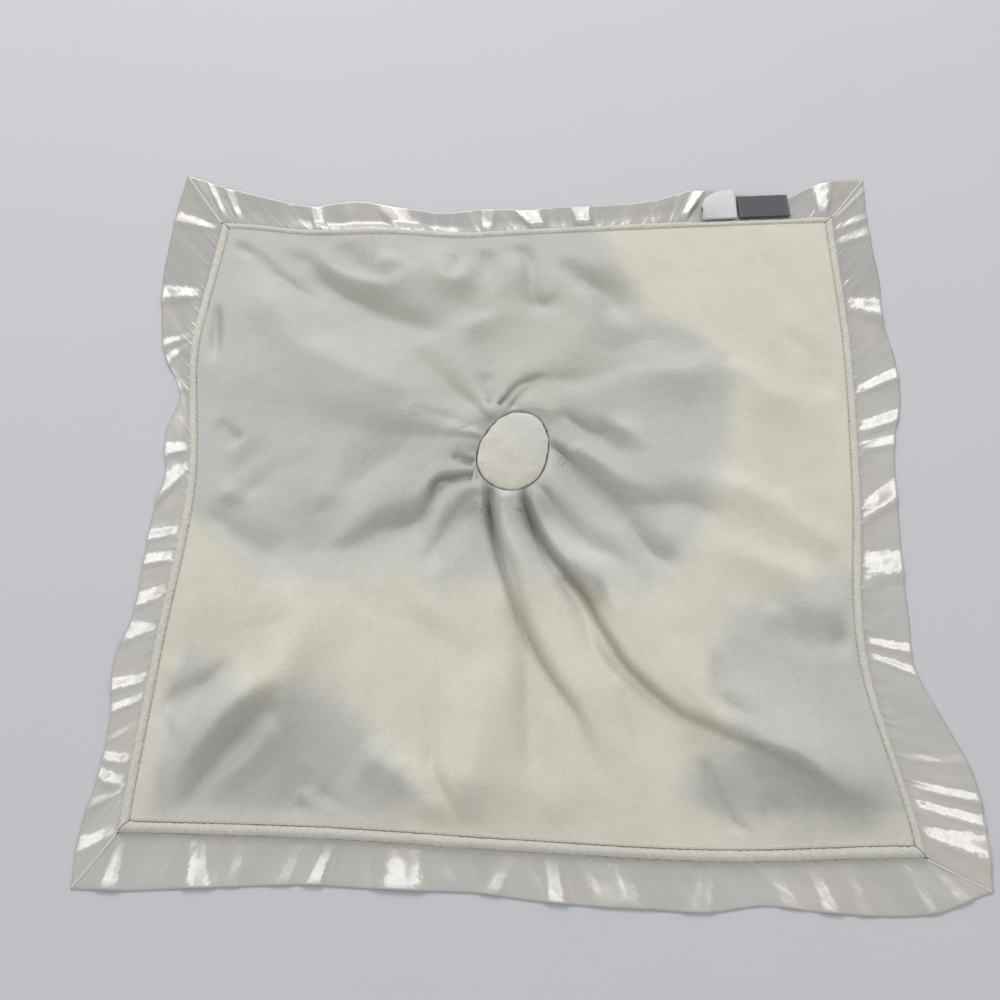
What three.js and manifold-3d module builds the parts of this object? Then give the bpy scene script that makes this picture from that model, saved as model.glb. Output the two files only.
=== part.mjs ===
// A comfort blanket lovey: a square double-layer blanket with a satin ruffle, and a small plush
// head sewn under its middle. It lies face down, the way it is put on a table, so the head lifts
// the middle of the cloth into a soft tent with a round closing patch on top.
// Millimetres. X runs along the near edge, Y runs away from it, and Z is up from the floor.
import * as THREE from "three";
import { mergeVertices } from "three/addons/utils/BufferGeometryUtils.js";
import Module from "manifold-3d";

const wasm = await Module();
wasm.setup();

// Overall cut sizes.
const PANEL_SIDE = 312;
const RUFFLE_DEPTH = 24;

// Cloth and seams.
const VELOUR_THICKNESS = 1.4;
const SATIN_THICKNESS = 0.8;
const WELT_RADIUS = 2.3;
const CLEARANCE = 0.3;

// The tent that the head makes of the cloth.
const NECK_RADIUS = 16.2;
const NECK_X = -7.6;
const NECK_Y = -7.3;
// From the top of the head to the middle of the cloth at the neck ring.
const NECK_RISE = 6;
const PUFF_RISE = 2.4;
const PUFF_WIDTH = 6;
const RIDGE_RISE = 7;
const RIDGE_WIDTH = 12;
const CREASE_DEPTH = 5;
const CREASE_WIDTH = 8;
const ARCH_HEIGHT = 5.5;
const EDGE_LIFT = 6;

// The neck patch and the band that joins the cloth to the head.
const PATCH_RISE = 3.6;
const PATCH_EDGE = 1.2;
const BAND_WALL = 1.6;

// The plush head, lying on its face.
const HEAD_WIDTH = 60;
const HEAD_LENGTH = 52;
const HEAD_DEPTH = 29;
const HEAD_FORWARD = 3;
const GUSSET_WIDTH = 20;
const PLUSH_THICKNESS = 1.3;
const NECK_OPENING_RADIUS = 11;
const DRAPE_MARGIN = 1.2;

// The muzzle, nose and eyes, all on the side that faces the floor.
const MUZZLE_WIDTH = 26;
const MUZZLE_LENGTH = 20;
const MUZZLE_DEPTH = 12;
const MUZZLE_DROP = 5;
const REST_CUT = 0.5;
const NOSE_WIDTH = 7;
const NOSE_LENGTH = 4.4;
const NOSE_DEPTH = 4;
const EYE_RADIUS = 2.6;
const EYE_SPACING = 24;
const EYE_FORWARD = 12;

// The ears, which hang down to the floor from the crown's two sides.
const EAR_LENGTH = 21;
const EAR_WIDTH = 24;
const EAR_THICKNESS = 4;
const EAR_SEAM_THICKNESS = 0.8;
const EAR_LINING_THICKNESS = 0.8;

// The two sewn-in labels on the far seam.
const WOVEN_LABEL_WIDTH = 26.5;
const WOVEN_LABEL_LENGTH = 14;
const WOVEN_LABEL_PLY = 0.45;
const CARE_LABEL_WIDTH = 18;
const CARE_LABEL_LENGTH = 17;
const CARE_LABEL_PLY = 0.4;
const CARE_LABEL_FOLD_RADIUS = 2;
const LABEL_SPACING = 1;
const LABEL_STANDOFF = 0.9;
// From the right-hand corner of the far seam to the nearer side of the woven label.
const LABEL_INSET = 22;

const TAU = 2 * Math.PI;
const DEGREE = Math.PI / 180;
const NECK_TILT = 8 * DEGREE;
// How far round from the head's side towards its crown an ear stands.
const EAR_PLACE = 30 * DEGREE;
const HALF_SIDE = PANEL_SIDE / 2;
const SEAM_OFFSET = WELT_RADIUS + CLEARANCE;
const CLOTH_HALF = CLEARANCE / 2 + VELOUR_THICKNESS;
const HALF_OVERALL = HALF_SIDE + RUFFLE_DEPTH;
const NECK_HEIGHT = MUZZLE_DROP + HEAD_DEPTH + NECK_RISE;

// How finely the forms are divided.
const SIDE_STATIONS = 15;
const RADIAL_SHARES = [0, 0.045, 0.11, 0.2, 0.32, 0.46, 0.63, 0.82, 1];
const RUFFLE_STATIONS = 56;
const RUFFLE_SHARES = [0, 0.5, 1];
const WELT_STATIONS = 24;
const WELT_FACETS = 8;
const NECK_GATHERS = 15;
const NECK_FACETS = 28;
const HEAD_AROUND = 20;
const HEAD_ACROSS = 14;
const MUZZLE_AROUND = 18;
const MUZZLE_ACROSS = 12;
const STITCH_AROUND = 12;
const STITCH_ACROSS = 8;

// How fast the tent falls away from the neck: 1 is a straight cone. The corner share says how
// widely it is rounded over the diagonals.
const TENT_CURVE = 1.5;
const TENT_CORNER_SHARE = 2.4;
// The part of the puff that comes and goes with the gathers, and where along the way out from
// the neck the folds are fully there and where they start to die away.
const GATHER_SHARE = 0.4;
const FOLD_START_SHARE = 0.1;
const FOLD_END_SHARE = 0.85;
// The rings of the neck patch's dome, and how far up the muzzle's slope the nose sits.
const DOME_SHARES = [0.9, 0.75, 0.55, 0.3];
const NOSE_PLACE_SHARE = 0.93;
// The stretch of seam that a label's direction is read from.
const TANGENT_SHARE = 0.01;

// Shares that shape the ears: how bluntly a leaf ends, where its swelling starts and its taper
// ends, and the place and size of the lining on it.
const LEAF_END_SHARE = 0.94;
const EAR_SWELL_START_SHARE = 0.08;
const EAR_TAPER_SHARE = 0.25;
const LINING_START_SHARE = 0.28;
const LINING_LENGTH_SHARE = 0.5;
const LINING_WIDTH_SHARE = 0.6;

// The rumpled panel's corners from the near left one round, as shares of half its side.
const CORNER_SHARES = [[-1.038, -1.003], [0.979, -1.058], [1.006, 0.962], [-0.994, 0.923]];

// The egg shape of the neck opening: its second and third harmonic, and where each points.
const NECK_OVAL_SHARE = 0.11;
const NECK_OVAL_ANGLE = 67 * DEGREE;
const NECK_CORNER_SHARE = 0.027;
const NECK_CORNER_ANGLE = 190 * DEGREE;

// Each side runs from one corner to the next, counter-clockwise seen from above.
// bowShares: how far the seam bows out at even steps, of the panel's side.
// pullShares: how far the ruffle's hem is drawn in from the line between its tips, of its depth.
// liftShares and archShares: place and half width along the side, and height of each rise, for
// the seam and for the hem.
const SIDES = [
  {
    name: "near",
    bowShares: [0, 0, 0.008, 0.0125, 0],
    pullShares: [0, 0, 0.04, 0.08, 0.04, 0, -0.15, -0.26, -0.3, -0.2, -0.33, -0.37, 0],
    liftShares: [],
    archShares: [
      [0.04, 0.025, 0.7], [0.134, 0.02, 0.6], [0.183, 0.02, 0.8], [0.255, 0.03, 1],
      [0.356, 0.025, 0.7], [0.464, 0.022, 0.6], [0.524, 0.02, 0.6], [0.584, 0.022, 0.7],
      [0.681, 0.02, 0.7], [0.768, 0.025, 0.7], [0.81, 0.02, 0.9], [0.898, 0.03, 0.9],
      [0.958, 0.02, 0.8],
    ],
  },
  {
    name: "right",
    bowShares: [0, -0.04, -0.017, 0, 0],
    pullShares: [0, 0, 0.1, 0.62, 0.6, 0.55, 0.44, 0.2, 0.05, 0.12, 0.07, 0.05, 0],
    liftShares: [],
    archShares: [
      [0.044, 0.025, 0.9], [0.098, 0.02, 0.8], [0.142, 0.02, 0.8], [0.266, 0.03, 0.5],
      [0.385, 0.03, 0.6], [0.473, 0.03, 0.7], [0.55, 0.022, 0.8], [0.6, 0.02, 0.7],
      [0.65, 0.02, 0.7], [0.762, 0.03, 0.6], [0.905, 0.03, 0.7],
    ],
  },
  {
    name: "far",
    bowShares: [0, -0.008, -0.019, -0.03, 0],
    pullShares: [0, 0.2, 0.5, 0.36, 0.65, 0.77, 0.89, 0.93, 0.93, 0.69, 0.75, 0.5, 0],
    liftShares: [[0.74, 0.08, 1]],
    archShares: [
      [0.045, 0.025, 0.5], [0.295, 0.025, 0.6], [0.371, 0.025, 0.7], [0.426, 0.02, 0.6],
      [0.502, 0.03, 0.7], [0.6, 0.025, 0.5], [0.72, 0.08, 1.3], [0.85, 0.03, 0.5],
      [0.924, 0.03, 0.7],
    ],
  },
  {
    name: "left",
    bowShares: [0, 0.014, -0.014, -0.006, 0],
    pullShares: [0, 0, 0, 0, 0.2, 0.5, 0.5, 0.36, 0.33, 0.14, 0.18, 0.08, 0],
    liftShares: [[0.26, 0.05, 0.3]],
    archShares: [
      [0.069, 0.03, 0.7], [0.207, 0.03, 0.7], [0.302, 0.025, 0.9], [0.37, 0.02, 0.7],
      [0.44, 0.02, 0.6], [0.5, 0.025, 0.8], [0.569, 0.02, 0.7], [0.62, 0.02, 0.6],
      [0.662, 0.02, 0.7], [0.72, 0.02, 0.7], [0.79, 0.02, 0.7], [0.873, 0.03, 1],
      [0.955, 0.02, 0.6],
    ],
  },
];

// The main folds of the cloth. Each crest or crease follows points given as shares of half the
// panel's side from its middle, and its height is a share of the common rise or depth.
const CRESTS = [
  {
    riseShare: 1,
    shares: [[-0.94, 0.82], [-0.71, 0.6], [-0.54, 0.38], [-0.38, 0.24], [-0.22, 0.14]],
  },
  {
    riseShare: 0.9,
    shares: [[-0.27, -0.28], [-0.49, -0.31], [-0.6, -0.34], [-0.75, -0.56], [-0.95, -0.78]],
  },
  { riseShare: 0.7, shares: [[-0.01, -0.15], [0.18, -0.33], [0.45, -0.47], [0.64, -0.55]] },
  { riseShare: 0.6, shares: [[0.08, 0], [0.42, -0.01], [0.63, -0.01], [0.92, -0.2]] },
  {
    riseShare: 0.8,
    shares: [[0.03, 0.13], [0.2, 0.2], [0.35, 0.3], [0.51, 0.36], [0.71, 0.33], [0.95, 0.26]],
  },
  {
    riseShare: 0.7,
    shares: [[-0.07, 0.1], [-0.03, 0.22], [0.09, 0.38], [0.19, 0.54], [0.17, 0.69], [0.09, 0.78]],
  },
  { riseShare: 0.6, shares: [[-0.56, -0.21], [-0.45, -0.1], [-0.25, -0.04]] },
];
const CREASES = [
  {
    depthShare: 1.1,
    shares: [[-0.12, -0.16], [-0.07, -0.35], [-0.04, -0.44], [0.07, -0.63], [0.17, -0.83]],
  },
  { depthShare: 0.9, shares: [[0.11, -0.46], [0.31, -0.66], [0.56, -0.78], [0.84, -0.9]] },
  { depthShare: 0.8, shares: [[-0.66, -0.66], [-0.78, -0.76], [-0.88, -0.88]] },
  { depthShare: 0.8, shares: [[0.1, 0.8], [0.23, 0.69], [0.25, 0.54], [0.22, 0.45]] },
  { depthShare: 0.8, shares: [[-0.71, 0.79], [-0.59, 0.66], [-0.4, 0.54], [-0.27, 0.49]] },
  { depthShare: 0.9, shares: [[-0.49, -0.22], [-0.33, -0.21], [-0.22, -0.12]] },
];

// Colours of the finishes.
const GREY_VELOUR = { color: 0xbfbfba, roughness: 0.95, metalness: 0 };
const CREAM_VELOUR = { color: 0xcbc8bb, roughness: 0.95, metalness: 0 };
const SATIN = { color: 0xb6b5b1, roughness: 0.35, metalness: 0 };
const CREAM_PLUSH = { color: 0xd2cdbd, roughness: 1, metalness: 0 };
const CHARCOAL_RIBBON = { color: 0x4b4d50, roughness: 0.8, metalness: 0 };
const WHITE_RIBBON = { color: 0xc5c1c6, roughness: 0.5, metalness: 0 };
const DARK_THREAD = { color: 0x4a4542, roughness: 0.6, metalness: 0 };
const FILLING = { color: 0xf0eee8, roughness: 1, metalness: 0 };

const cornerOf = ([x, y]) => new THREE.Vector2(x * HALF_SIDE, y * HALF_SIDE);
const CORNERS = CORNER_SHARES.map(cornerOf);
const TIPS = [[-1, -1], [1, -1], [1, 1], [-1, 1]].map(
  ([x, y]) => new THREE.Vector2(x * HALF_OVERALL, y * HALF_OVERALL),
);
const NECK = new THREE.Vector2(NECK_X, NECK_Y);

// The unit normal that points out of the side from a to b.
function outwardOf(a, b) {
  const along = b.clone().sub(a).normalize();
  return new THREE.Vector2(along.y, -along.x);
}

const OUTWARDS = CORNERS.map((corner, i) => outwardOf(corner, CORNERS[(i + 1) % 4]));

// A corner moved out by an offset that stays equal on both of its sides: a true mitre.
function mitredCorner(i, offset) {
  const before = OUTWARDS[(i + 3) % 4];
  const after = OUTWARDS[i % 4];
  const bisector = before.clone().add(after).divideScalar(1 + before.dot(after));
  return CORNERS[i % 4].clone().addScaledVector(bisector, offset);
}

// A smooth curve through evenly spaced values, read at a share along it.
function readTable(values, share) {
  const place = THREE.MathUtils.clamp(share, 0, 1) * (values.length - 1);
  const i = Math.min(Math.floor(place), values.length - 2);
  const t = place - i;
  const [before, from, to, after] = [-1, 0, 1, 2].map(
    (step) => values[THREE.MathUtils.clamp(i + step, 0, values.length - 1)],
  );
  const bend = (to - before) * 0.5;
  const exit = (after - from) * 0.5;
  return (
    (2 * from - 2 * to + bend + exit) * t ** 3 +
    (3 * to - 3 * from - 2 * bend - exit) * t ** 2 +
    bend * t +
    from
  );
}

// The sum of rounded rises, each given by its place, half width and height.
function risesAt(table, share) {
  const rise = ([place, halfWidth, height]) => {
    const reach = Math.abs(share - place) / (2 * halfWidth);
    return reach < 1 ? height * Math.cos((reach * Math.PI) / 2) ** 2 : 0;
  };
  return table.reduce((sum, entry) => sum + rise(entry), 0);
}

// The point of side i at a share along it, moved out from the seam by an offset.
function sidePoint(i, share, offset) {
  const bow = readTable(SIDES[i].bowShares, share) * PANEL_SIDE;
  return mitredCorner(i, offset)
    .lerp(mitredCorner(i + 1, offset), share)
    .addScaledVector(OUTWARDS[i], bow);
}

// The hem of side i's ruffle at a share along it.
function hemPoint(i, share) {
  const outward = outwardOf(TIPS[i], TIPS[(i + 1) % 4]);
  const pull = readTable(SIDES[i].pullShares, share);
  return TIPS[i].clone().lerp(TIPS[(i + 1) % 4], share).addScaledVector(outward, -pull * RUFFLE_DEPTH);
}

// The middle height of the seam of side i: the welt lies on the floor but for its lifts.
const seamHeight = (i, share) => WELT_RADIUS + EDGE_LIFT * risesAt(SIDES[i].liftShares, share);

// The neck opening's radius in a direction, as a share of the round one.
function neckOutline(angle) {
  const oval = NECK_OVAL_SHARE * Math.cos(2 * (angle - NECK_OVAL_ANGLE));
  return 1 + oval + NECK_CORNER_SHARE * Math.cos(3 * (angle - NECK_CORNER_ANGLE));
}

const HEAD_CENTRE = new THREE.Vector3(NECK_X, NECK_Y - HEAD_FORWARD, MUZZLE_DROP + HEAD_DEPTH / 2);
const HEAD_RADII = new THREE.Vector3(HEAD_WIDTH, HEAD_LENGTH, HEAD_DEPTH).divideScalar(2);
// An ear hangs from the head's mid height until its tip meets the floor.
const EAR_DROOP = Math.asin(Math.min(1, (HEAD_CENTRE.z - EAR_THICKNESS / 2) / EAR_LENGTH));

// The lowest that the middle of the cloth can lie over the head.
function drapeFloor(x, y) {
  const grow = CLOTH_HALF + CLEARANCE + DRAPE_MARGIN;
  const across = (x - HEAD_CENTRE.x) / (HEAD_RADII.x + grow);
  const along = (y - HEAD_CENTRE.y) / (HEAD_RADII.y + grow);
  const left = 1 - across ** 2 - along ** 2;
  return left > 0 ? HEAD_CENTRE.z + (HEAD_RADII.z + grow) * Math.sqrt(left) : 0;
}

// The distance from a point to a polyline.
function distanceTo(path, point) {
  const gaps = path.slice(1).map((end, i) => {
    const span = end.clone().sub(path[i]);
    const share = THREE.MathUtils.clamp(point.clone().sub(path[i]).dot(span) / span.lengthSq(), 0, 1);
    return path[i].clone().addScaledVector(span, share).distanceTo(point);
  });
  return Math.min(...gaps);
}

const FOLDS = [
  ...CRESTS.map(({ riseShare, shares }) => ({
    height: RIDGE_RISE * riseShare,
    width: RIDGE_WIDTH,
    path: shares.map(cornerOf),
  })),
  ...CREASES.map(({ depthShare, shares }) => ({
    height: -CREASE_DEPTH * depthShare,
    width: CREASE_WIDTH,
    path: shares.map(cornerOf),
  })),
];

// The rise of all folds at a point: each is a rounded bank along its line.
function foldsAt(point) {
  const rise = ({ height, width, path }) => height * Math.exp(-((distanceTo(path, point) / width) ** 2));
  return FOLDS.reduce((sum, fold) => sum + rise(fold), 0);
}

// The larger of two heights, rounded where they meet.
const softMax = (a, b, round) => (a + b + Math.hypot(a - b, round)) / 2;

// The share that the tent's fall is read at. It grows towards the corners, where two sides' falls
// meet, so that no edge runs along the diagonal.
function fallShare(along, share) {
  const width = TENT_CORNER_SHARE * share * (1 - share);
  const past = Math.max(0, width - share * (1 - Math.abs(2 * along - 1)));
  return width > 0 ? Math.min(1, share + past ** 2 / (4 * width)) : share;
}

// The middle surface of the double cloth: a tent from the neck ring down to the seam, with its
// folds, the puffed gathers round the neck, and the head underneath.
function clothPoint(station, share) {
  const i = Math.floor(station / SIDE_STATIONS) % 4;
  const along = (station % SIDE_STATIONS) / SIDE_STATIONS;
  const edge = sidePoint(i, along, -SEAM_OFFSET);
  const angle = edge.clone().sub(NECK).angle();
  const radius = (NECK_RADIUS + CLEARANCE) * neckOutline(angle);
  const neck = new THREE.Vector2(Math.cos(angle), Math.sin(angle)).multiplyScalar(radius).add(NECK);
  const point = neck.clone().lerp(edge, share);
  const neckHeight = NECK_HEIGHT + Math.tan(NECK_TILT) * (neck.y - NECK_Y);
  const level = seamHeight(i, along);
  const out = point.distanceTo(neck) / PUFF_WIDTH;
  const turn = (TAU * NECK_GATHERS * station) / (4 * SIDE_STATIONS);
  const gather = 1 - GATHER_SHARE + GATHER_SHARE * Math.cos(turn);
  const puff = PUFF_RISE * gather * out * Math.exp(1 - out);
  const start = THREE.MathUtils.smoothstep(share, 0, FOLD_START_SHARE);
  const fade = start * (1 - THREE.MathUtils.smoothstep(share, FOLD_END_SHARE, 1));
  const fall = (neckHeight - level) * (1 - fallShare(along, share)) ** TENT_CURVE;
  const tent = level + fall + puff + fade * foldsAt(point);
  const overHead = softMax(tent, drapeFloor(point.x, point.y), DRAPE_MARGIN * fade);
  const height = Math.max(overHead, CLOTH_HALF + CLEARANCE);
  return new THREE.Vector3(point.x, point.y, share < 1 ? height : level);
}

// Joins two matching grids of points, one above the other, into one closed slab.
// closed says that the last row of stations meets the first.
function slabGeometry(top, bottom, closed = false) {
  const rows = top.length;
  const columns = top[0].length;
  const positions = [...top.flat(), ...bottom.flat()].flatMap((p) => [p.x, p.y, p.z]);
  const upper = (k, j) => (k % rows) * columns + j;
  const lower = (k, j) => rows * columns + upper(k, j);
  const index = [];
  const quad = (a, b, c, d) => index.push(a, b, c, a, c, d);
  const spans = closed ? rows : rows - 1;
  for (let k = 0; k < spans; k += 1) {
    for (let j = 0; j < columns - 1; j += 1) {
      quad(upper(k, j), upper(k, j + 1), upper(k + 1, j + 1), upper(k + 1, j));
      index.push(lower(k, j), lower(k + 1, j + 1), lower(k, j + 1));
      index.push(lower(k, j), lower(k + 1, j), lower(k + 1, j + 1));
    }
    const last = columns - 1;
    quad(upper(k, last), lower(k, last), lower(k + 1, last), upper(k + 1, last));
    quad(upper(k, 0), upper(k + 1, 0), lower(k + 1, 0), lower(k, 0));
  }
  for (let j = 0; !closed && j < columns - 1; j += 1) {
    quad(upper(0, j), lower(0, j), lower(0, j + 1), upper(0, j + 1));
    quad(upper(rows - 1, j), upper(rows - 1, j + 1), lower(rows - 1, j + 1), lower(rows - 1, j));
  }
  return new THREE.BufferGeometry()
    .setAttribute("position", new THREE.Float32BufferAttribute(positions, 3))
    .setIndex(index);
}

// Joins rings of points, each convex and the same number, into one closed body.
function loftGeometry(rings) {
  const size = rings[0].length;
  const positions = rings.flat().flatMap((p) => [p.x, p.y, p.z]);
  const index = [];
  for (let k = 0; k < rings.length - 1; k += 1) {
    for (let j = 0; j < size; j += 1) {
      const [a, b] = [k * size + j, k * size + ((j + 1) % size)];
      index.push(a, a + size, b + size, a, b + size, b);
    }
  }
  const end = (rings.length - 1) * size;
  for (let j = 1; j < size - 1; j += 1) {
    index.push(0, j, j + 1);
    index.push(end, end + j + 1, end + j);
  }
  return new THREE.BufferGeometry()
    .setAttribute("position", new THREE.Float32BufferAttribute(positions, 3))
    .setIndex(index);
}

// A closed geometry as a solid that can be cut and joined.
function solidOf(geometry) {
  const bare = geometry.clone();
  bare.deleteAttribute("normal");
  bare.deleteAttribute("uv");
  const merged = mergeVertices(bare);
  return new wasm.Manifold(
    new wasm.Mesh({
      numProp: 3,
      vertProperties: merged.attributes.position.array,
      triVerts: new Uint32Array(merged.index.array),
    }),
  );
}

// A solid back as a geometry.
function geometryOf(solid) {
  const mesh = solid.getMesh();
  const positions = new Float32Array(mesh.numVert * 3);
  for (let i = 0; i < mesh.numVert; i += 1) {
    positions.set(mesh.vertProperties.subarray(i * mesh.numProp, i * mesh.numProp + 3), i * 3);
  }
  return new THREE.BufferGeometry()
    .setAttribute("position", new THREE.BufferAttribute(positions, 3))
    .setIndex(new THREE.BufferAttribute(mesh.triVerts, 1));
}

function named(name, geometry, finish) {
  const mesh = new THREE.Mesh(geometry, new THREE.MeshStandardMaterial(finish));
  mesh.name = name;
  return mesh;
}

const lifted = (point, height) => new THREE.Vector3(point.x, point.y, point.z + height);
const raised = (grid, height) => grid.map((row) => row.map((point) => lifted(point, height)));

// The two velour layers, one above the other with the seam between them.
function blanketPanels() {
  const stations = Array.from({ length: 4 * SIDE_STATIONS }, (_, k) => k);
  const middle = stations.map((k) => RADIAL_SHARES.map((share) => clothPoint(k, share)));
  const inner = CLEARANCE / 2;
  const back = slabGeometry(raised(middle, CLOTH_HALF), raised(middle, inner), true);
  const front = slabGeometry(raised(middle, -inner), raised(middle, -CLOTH_HALF), true);
  return [named("back_panel", back, GREY_VELOUR), named("front_panel", front, CREAM_VELOUR)];
}

// A share along a side with both of its ends drawn in by the clearance at the mitre.
const mitreShare = (share) => CLEARANCE / PANEL_SIDE + (1 - (2 * CLEARANCE) / PANEL_SIDE) * share;

// The corded welt of one side, with mitred ends.
function edgeWelt(i) {
  const rings = Array.from({ length: WELT_STATIONS + 1 }, (_, k) => {
    const share = mitreShare(k / WELT_STATIONS);
    return Array.from({ length: WELT_FACETS }, (__, j) => {
      const turn = (TAU * j) / WELT_FACETS;
      const point = sidePoint(i, share, WELT_RADIUS * Math.cos(turn));
      return new THREE.Vector3(point.x, point.y, seamHeight(i, share) + WELT_RADIUS * Math.sin(turn));
    });
  });
  return named("edge_welt_" + SIDES[i].name, loftGeometry(rings), CREAM_VELOUR);
}

// The satin ruffle of one side: it falls from the seam to the floor and arches up at the hem.
function satinRuffle(i) {
  const middle = Array.from({ length: RUFFLE_STATIONS + 1 }, (_, k) => {
    const share = mitreShare(k / RUFFLE_STATIONS);
    const seam = sidePoint(i, share, SEAM_OFFSET);
    const hem = hemPoint(i, share);
    const arch = ARCH_HEIGHT * risesAt(SIDES[i].archShares, share);
    return RUFFLE_SHARES.map((out) => {
      const point = seam.clone().lerp(hem, out);
      const fall = THREE.MathUtils.lerp(seamHeight(i, share), SATIN_THICKNESS / 2, out);
      return new THREE.Vector3(point.x, point.y, fall + arch * (1 - (1 - out) ** 2));
    });
  });
  const half = SATIN_THICKNESS / 2;
  const slab = slabGeometry(raised(middle, half), raised(middle, -half));
  return named("satin_ruffle_" + SIDES[i].name, slab, SATIN);
}

// Gives a turned form round Z the neck opening's egg outline.
function shapeToNeck(geometry) {
  const position = geometry.attributes.position;
  for (let i = 0; i < position.count; i += 1) {
    const outline = neckOutline(Math.atan2(position.getY(i), position.getX(i)));
    position.setX(i, position.getX(i) * outline);
    position.setY(i, position.getY(i) * outline);
  }
  return geometry;
}

// A form turned round Z from a profile of [radius, height] points.
function turned(profile, segments) {
  const points = profile.map(([radius, height]) => new THREE.Vector2(radius, height));
  return new THREE.LatheGeometry(points, segments).rotateX(TAU / 4);
}

// Puts a form made round the neck's own axis into its place.
const atNeck = (geometry) => geometry.rotateX(NECK_TILT).translate(NECK_X, NECK_Y, NECK_HEIGHT);

// The round patch that closes the neck opening, domed by the filling under it.
function neckPatch() {
  const dome = DOME_SHARES.map((share) => [
    NECK_RADIUS * share,
    PATCH_EDGE + (PATCH_RISE - PATCH_EDGE) * Math.sqrt(1 - share ** 2),
  ]);
  const rim = [[NECK_RADIUS, -CLOTH_HALF], [NECK_RADIUS, PATCH_EDGE]];
  const profile = [[0, -CLOTH_HALF], ...rim, ...dome, [0, PATCH_RISE]];
  return named("neck_disc", atNeck(shapeToNeck(turned(profile, NECK_FACETS))), CREAM_VELOUR);
}

// An ellipsoid with its poles at the two sides.
function ellipsoid(centre, radii, around, across) {
  return new THREE.SphereGeometry(1, around, across)
    .rotateZ(TAU / 4)
    .scale(radii.x, radii.y, radii.z)
    .translate(centre.x, centre.y, centre.z);
}

// The head's rounded form, grown or shrunk all round.
function headShape(grow) {
  return solidOf(ellipsoid(HEAD_CENTRE, HEAD_RADII.clone().addScalar(grow), HEAD_AROUND, HEAD_ACROSS));
}

// The short band under the patch: the head's neck edge, gathered up to the cloth.
function neckBand() {
  const top = -CLOTH_HALF - CLEARANCE;
  const bottom = HEAD_CENTRE.z - NECK_HEIGHT;
  const inside = NECK_RADIUS - BAND_WALL;
  const wall = [[inside, bottom], [NECK_RADIUS, bottom], [NECK_RADIUS, top], [inside, top]];
  const ring = solidOf(atNeck(shapeToNeck(turned([...wall, wall[0]], NECK_FACETS))));
  return named("neck_band", geometryOf(ring.subtract(headShape(CLEARANCE))), CREAM_PLUSH);
}

// A block from one X to another that reaches past the whole head.
function headSlice(from, to) {
  const reach = 2 * HEAD_WIDTH;
  const block = new THREE.BoxGeometry(to - from, reach, reach);
  return solidOf(block.translate((from + to) / 2, HEAD_CENTRE.y, HEAD_CENTRE.z));
}

// The head's cover in its three sewn pieces, and the filling inside.
function headPieces() {
  const [radius, depth] = [NECK_OPENING_RADIUS, HEAD_DEPTH];
  const opening = new THREE.CylinderGeometry(radius, radius, depth, HEAD_AROUND)
    .rotateX(TAU / 4)
    .translate(NECK_X, NECK_Y, HEAD_CENTRE.z + HEAD_DEPTH / 2);
  const cover = headShape(0).subtract(headShape(-PLUSH_THICKNESS)).subtract(solidOf(opening));
  const seam = GUSSET_WIDTH / 2;
  const centre = HEAD_CENTRE.x;
  const gusset = cover.intersect(headSlice(centre - seam, centre + seam));
  const left = cover.intersect(headSlice(centre - HEAD_WIDTH, centre - seam - CLEARANCE));
  const right = cover.intersect(headSlice(centre + seam + CLEARANCE, centre + HEAD_WIDTH));
  return [
    named("head_gusset", geometryOf(gusset), CREAM_PLUSH),
    named("head_left_side", geometryOf(left), CREAM_PLUSH),
    named("head_right_side", geometryOf(right), CREAM_PLUSH),
    named("head_filling", geometryOf(headShape(-PLUSH_THICKNESS - CLEARANCE)), FILLING),
  ];
}

const MUZZLE_CENTRE = new THREE.Vector3(HEAD_CENTRE.x, HEAD_CENTRE.y, MUZZLE_DEPTH / 2 - REST_CUT);
const MUZZLE_RADII = new THREE.Vector3(MUZZLE_WIDTH, MUZZLE_LENGTH, MUZZLE_DEPTH).divideScalar(2);
function muzzleShape(grow) {
  const radii = MUZZLE_RADII.clone().addScalar(grow);
  return solidOf(ellipsoid(MUZZLE_CENTRE, radii, MUZZLE_AROUND, MUZZLE_ACROSS));
}

// The muzzle, pressed flat where the head stands on it.
function muzzle() {
  const floor = new THREE.BoxGeometry(2 * MUZZLE_WIDTH, 2 * MUZZLE_WIDTH, MUZZLE_DEPTH).translate(
    MUZZLE_CENTRE.x,
    MUZZLE_CENTRE.y,
    -MUZZLE_DEPTH / 2,
  );
  const solid = muzzleShape(0).subtract(headShape(CLEARANCE)).subtract(solidOf(floor));
  return named("muzzle", geometryOf(solid), CREAM_PLUSH);
}

// The point of an ellipsoid's under side at an offset from its centre.
function underside(centre, radii, dx, dy) {
  const left = 1 - (dx / radii.x) ** 2 - (dy / radii.y) ** 2;
  return new THREE.Vector3(centre.x + dx, centre.y + dy, centre.z - radii.z * Math.sqrt(left));
}

// The satin-stitched nose on the upper slope of the muzzle.
function nose() {
  const centre = underside(MUZZLE_CENTRE, MUZZLE_RADII, 0, -NOSE_PLACE_SHARE * MUZZLE_RADII.y);
  const radii = new THREE.Vector3(NOSE_WIDTH, NOSE_LENGTH, NOSE_DEPTH).divideScalar(2);
  const whole = solidOf(ellipsoid(centre, radii, STITCH_AROUND, STITCH_ACROSS));
  const solid = whole.subtract(muzzleShape(CLEARANCE)).subtract(headShape(CLEARANCE));
  return named("nose", geometryOf(solid), DARK_THREAD);
}

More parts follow.
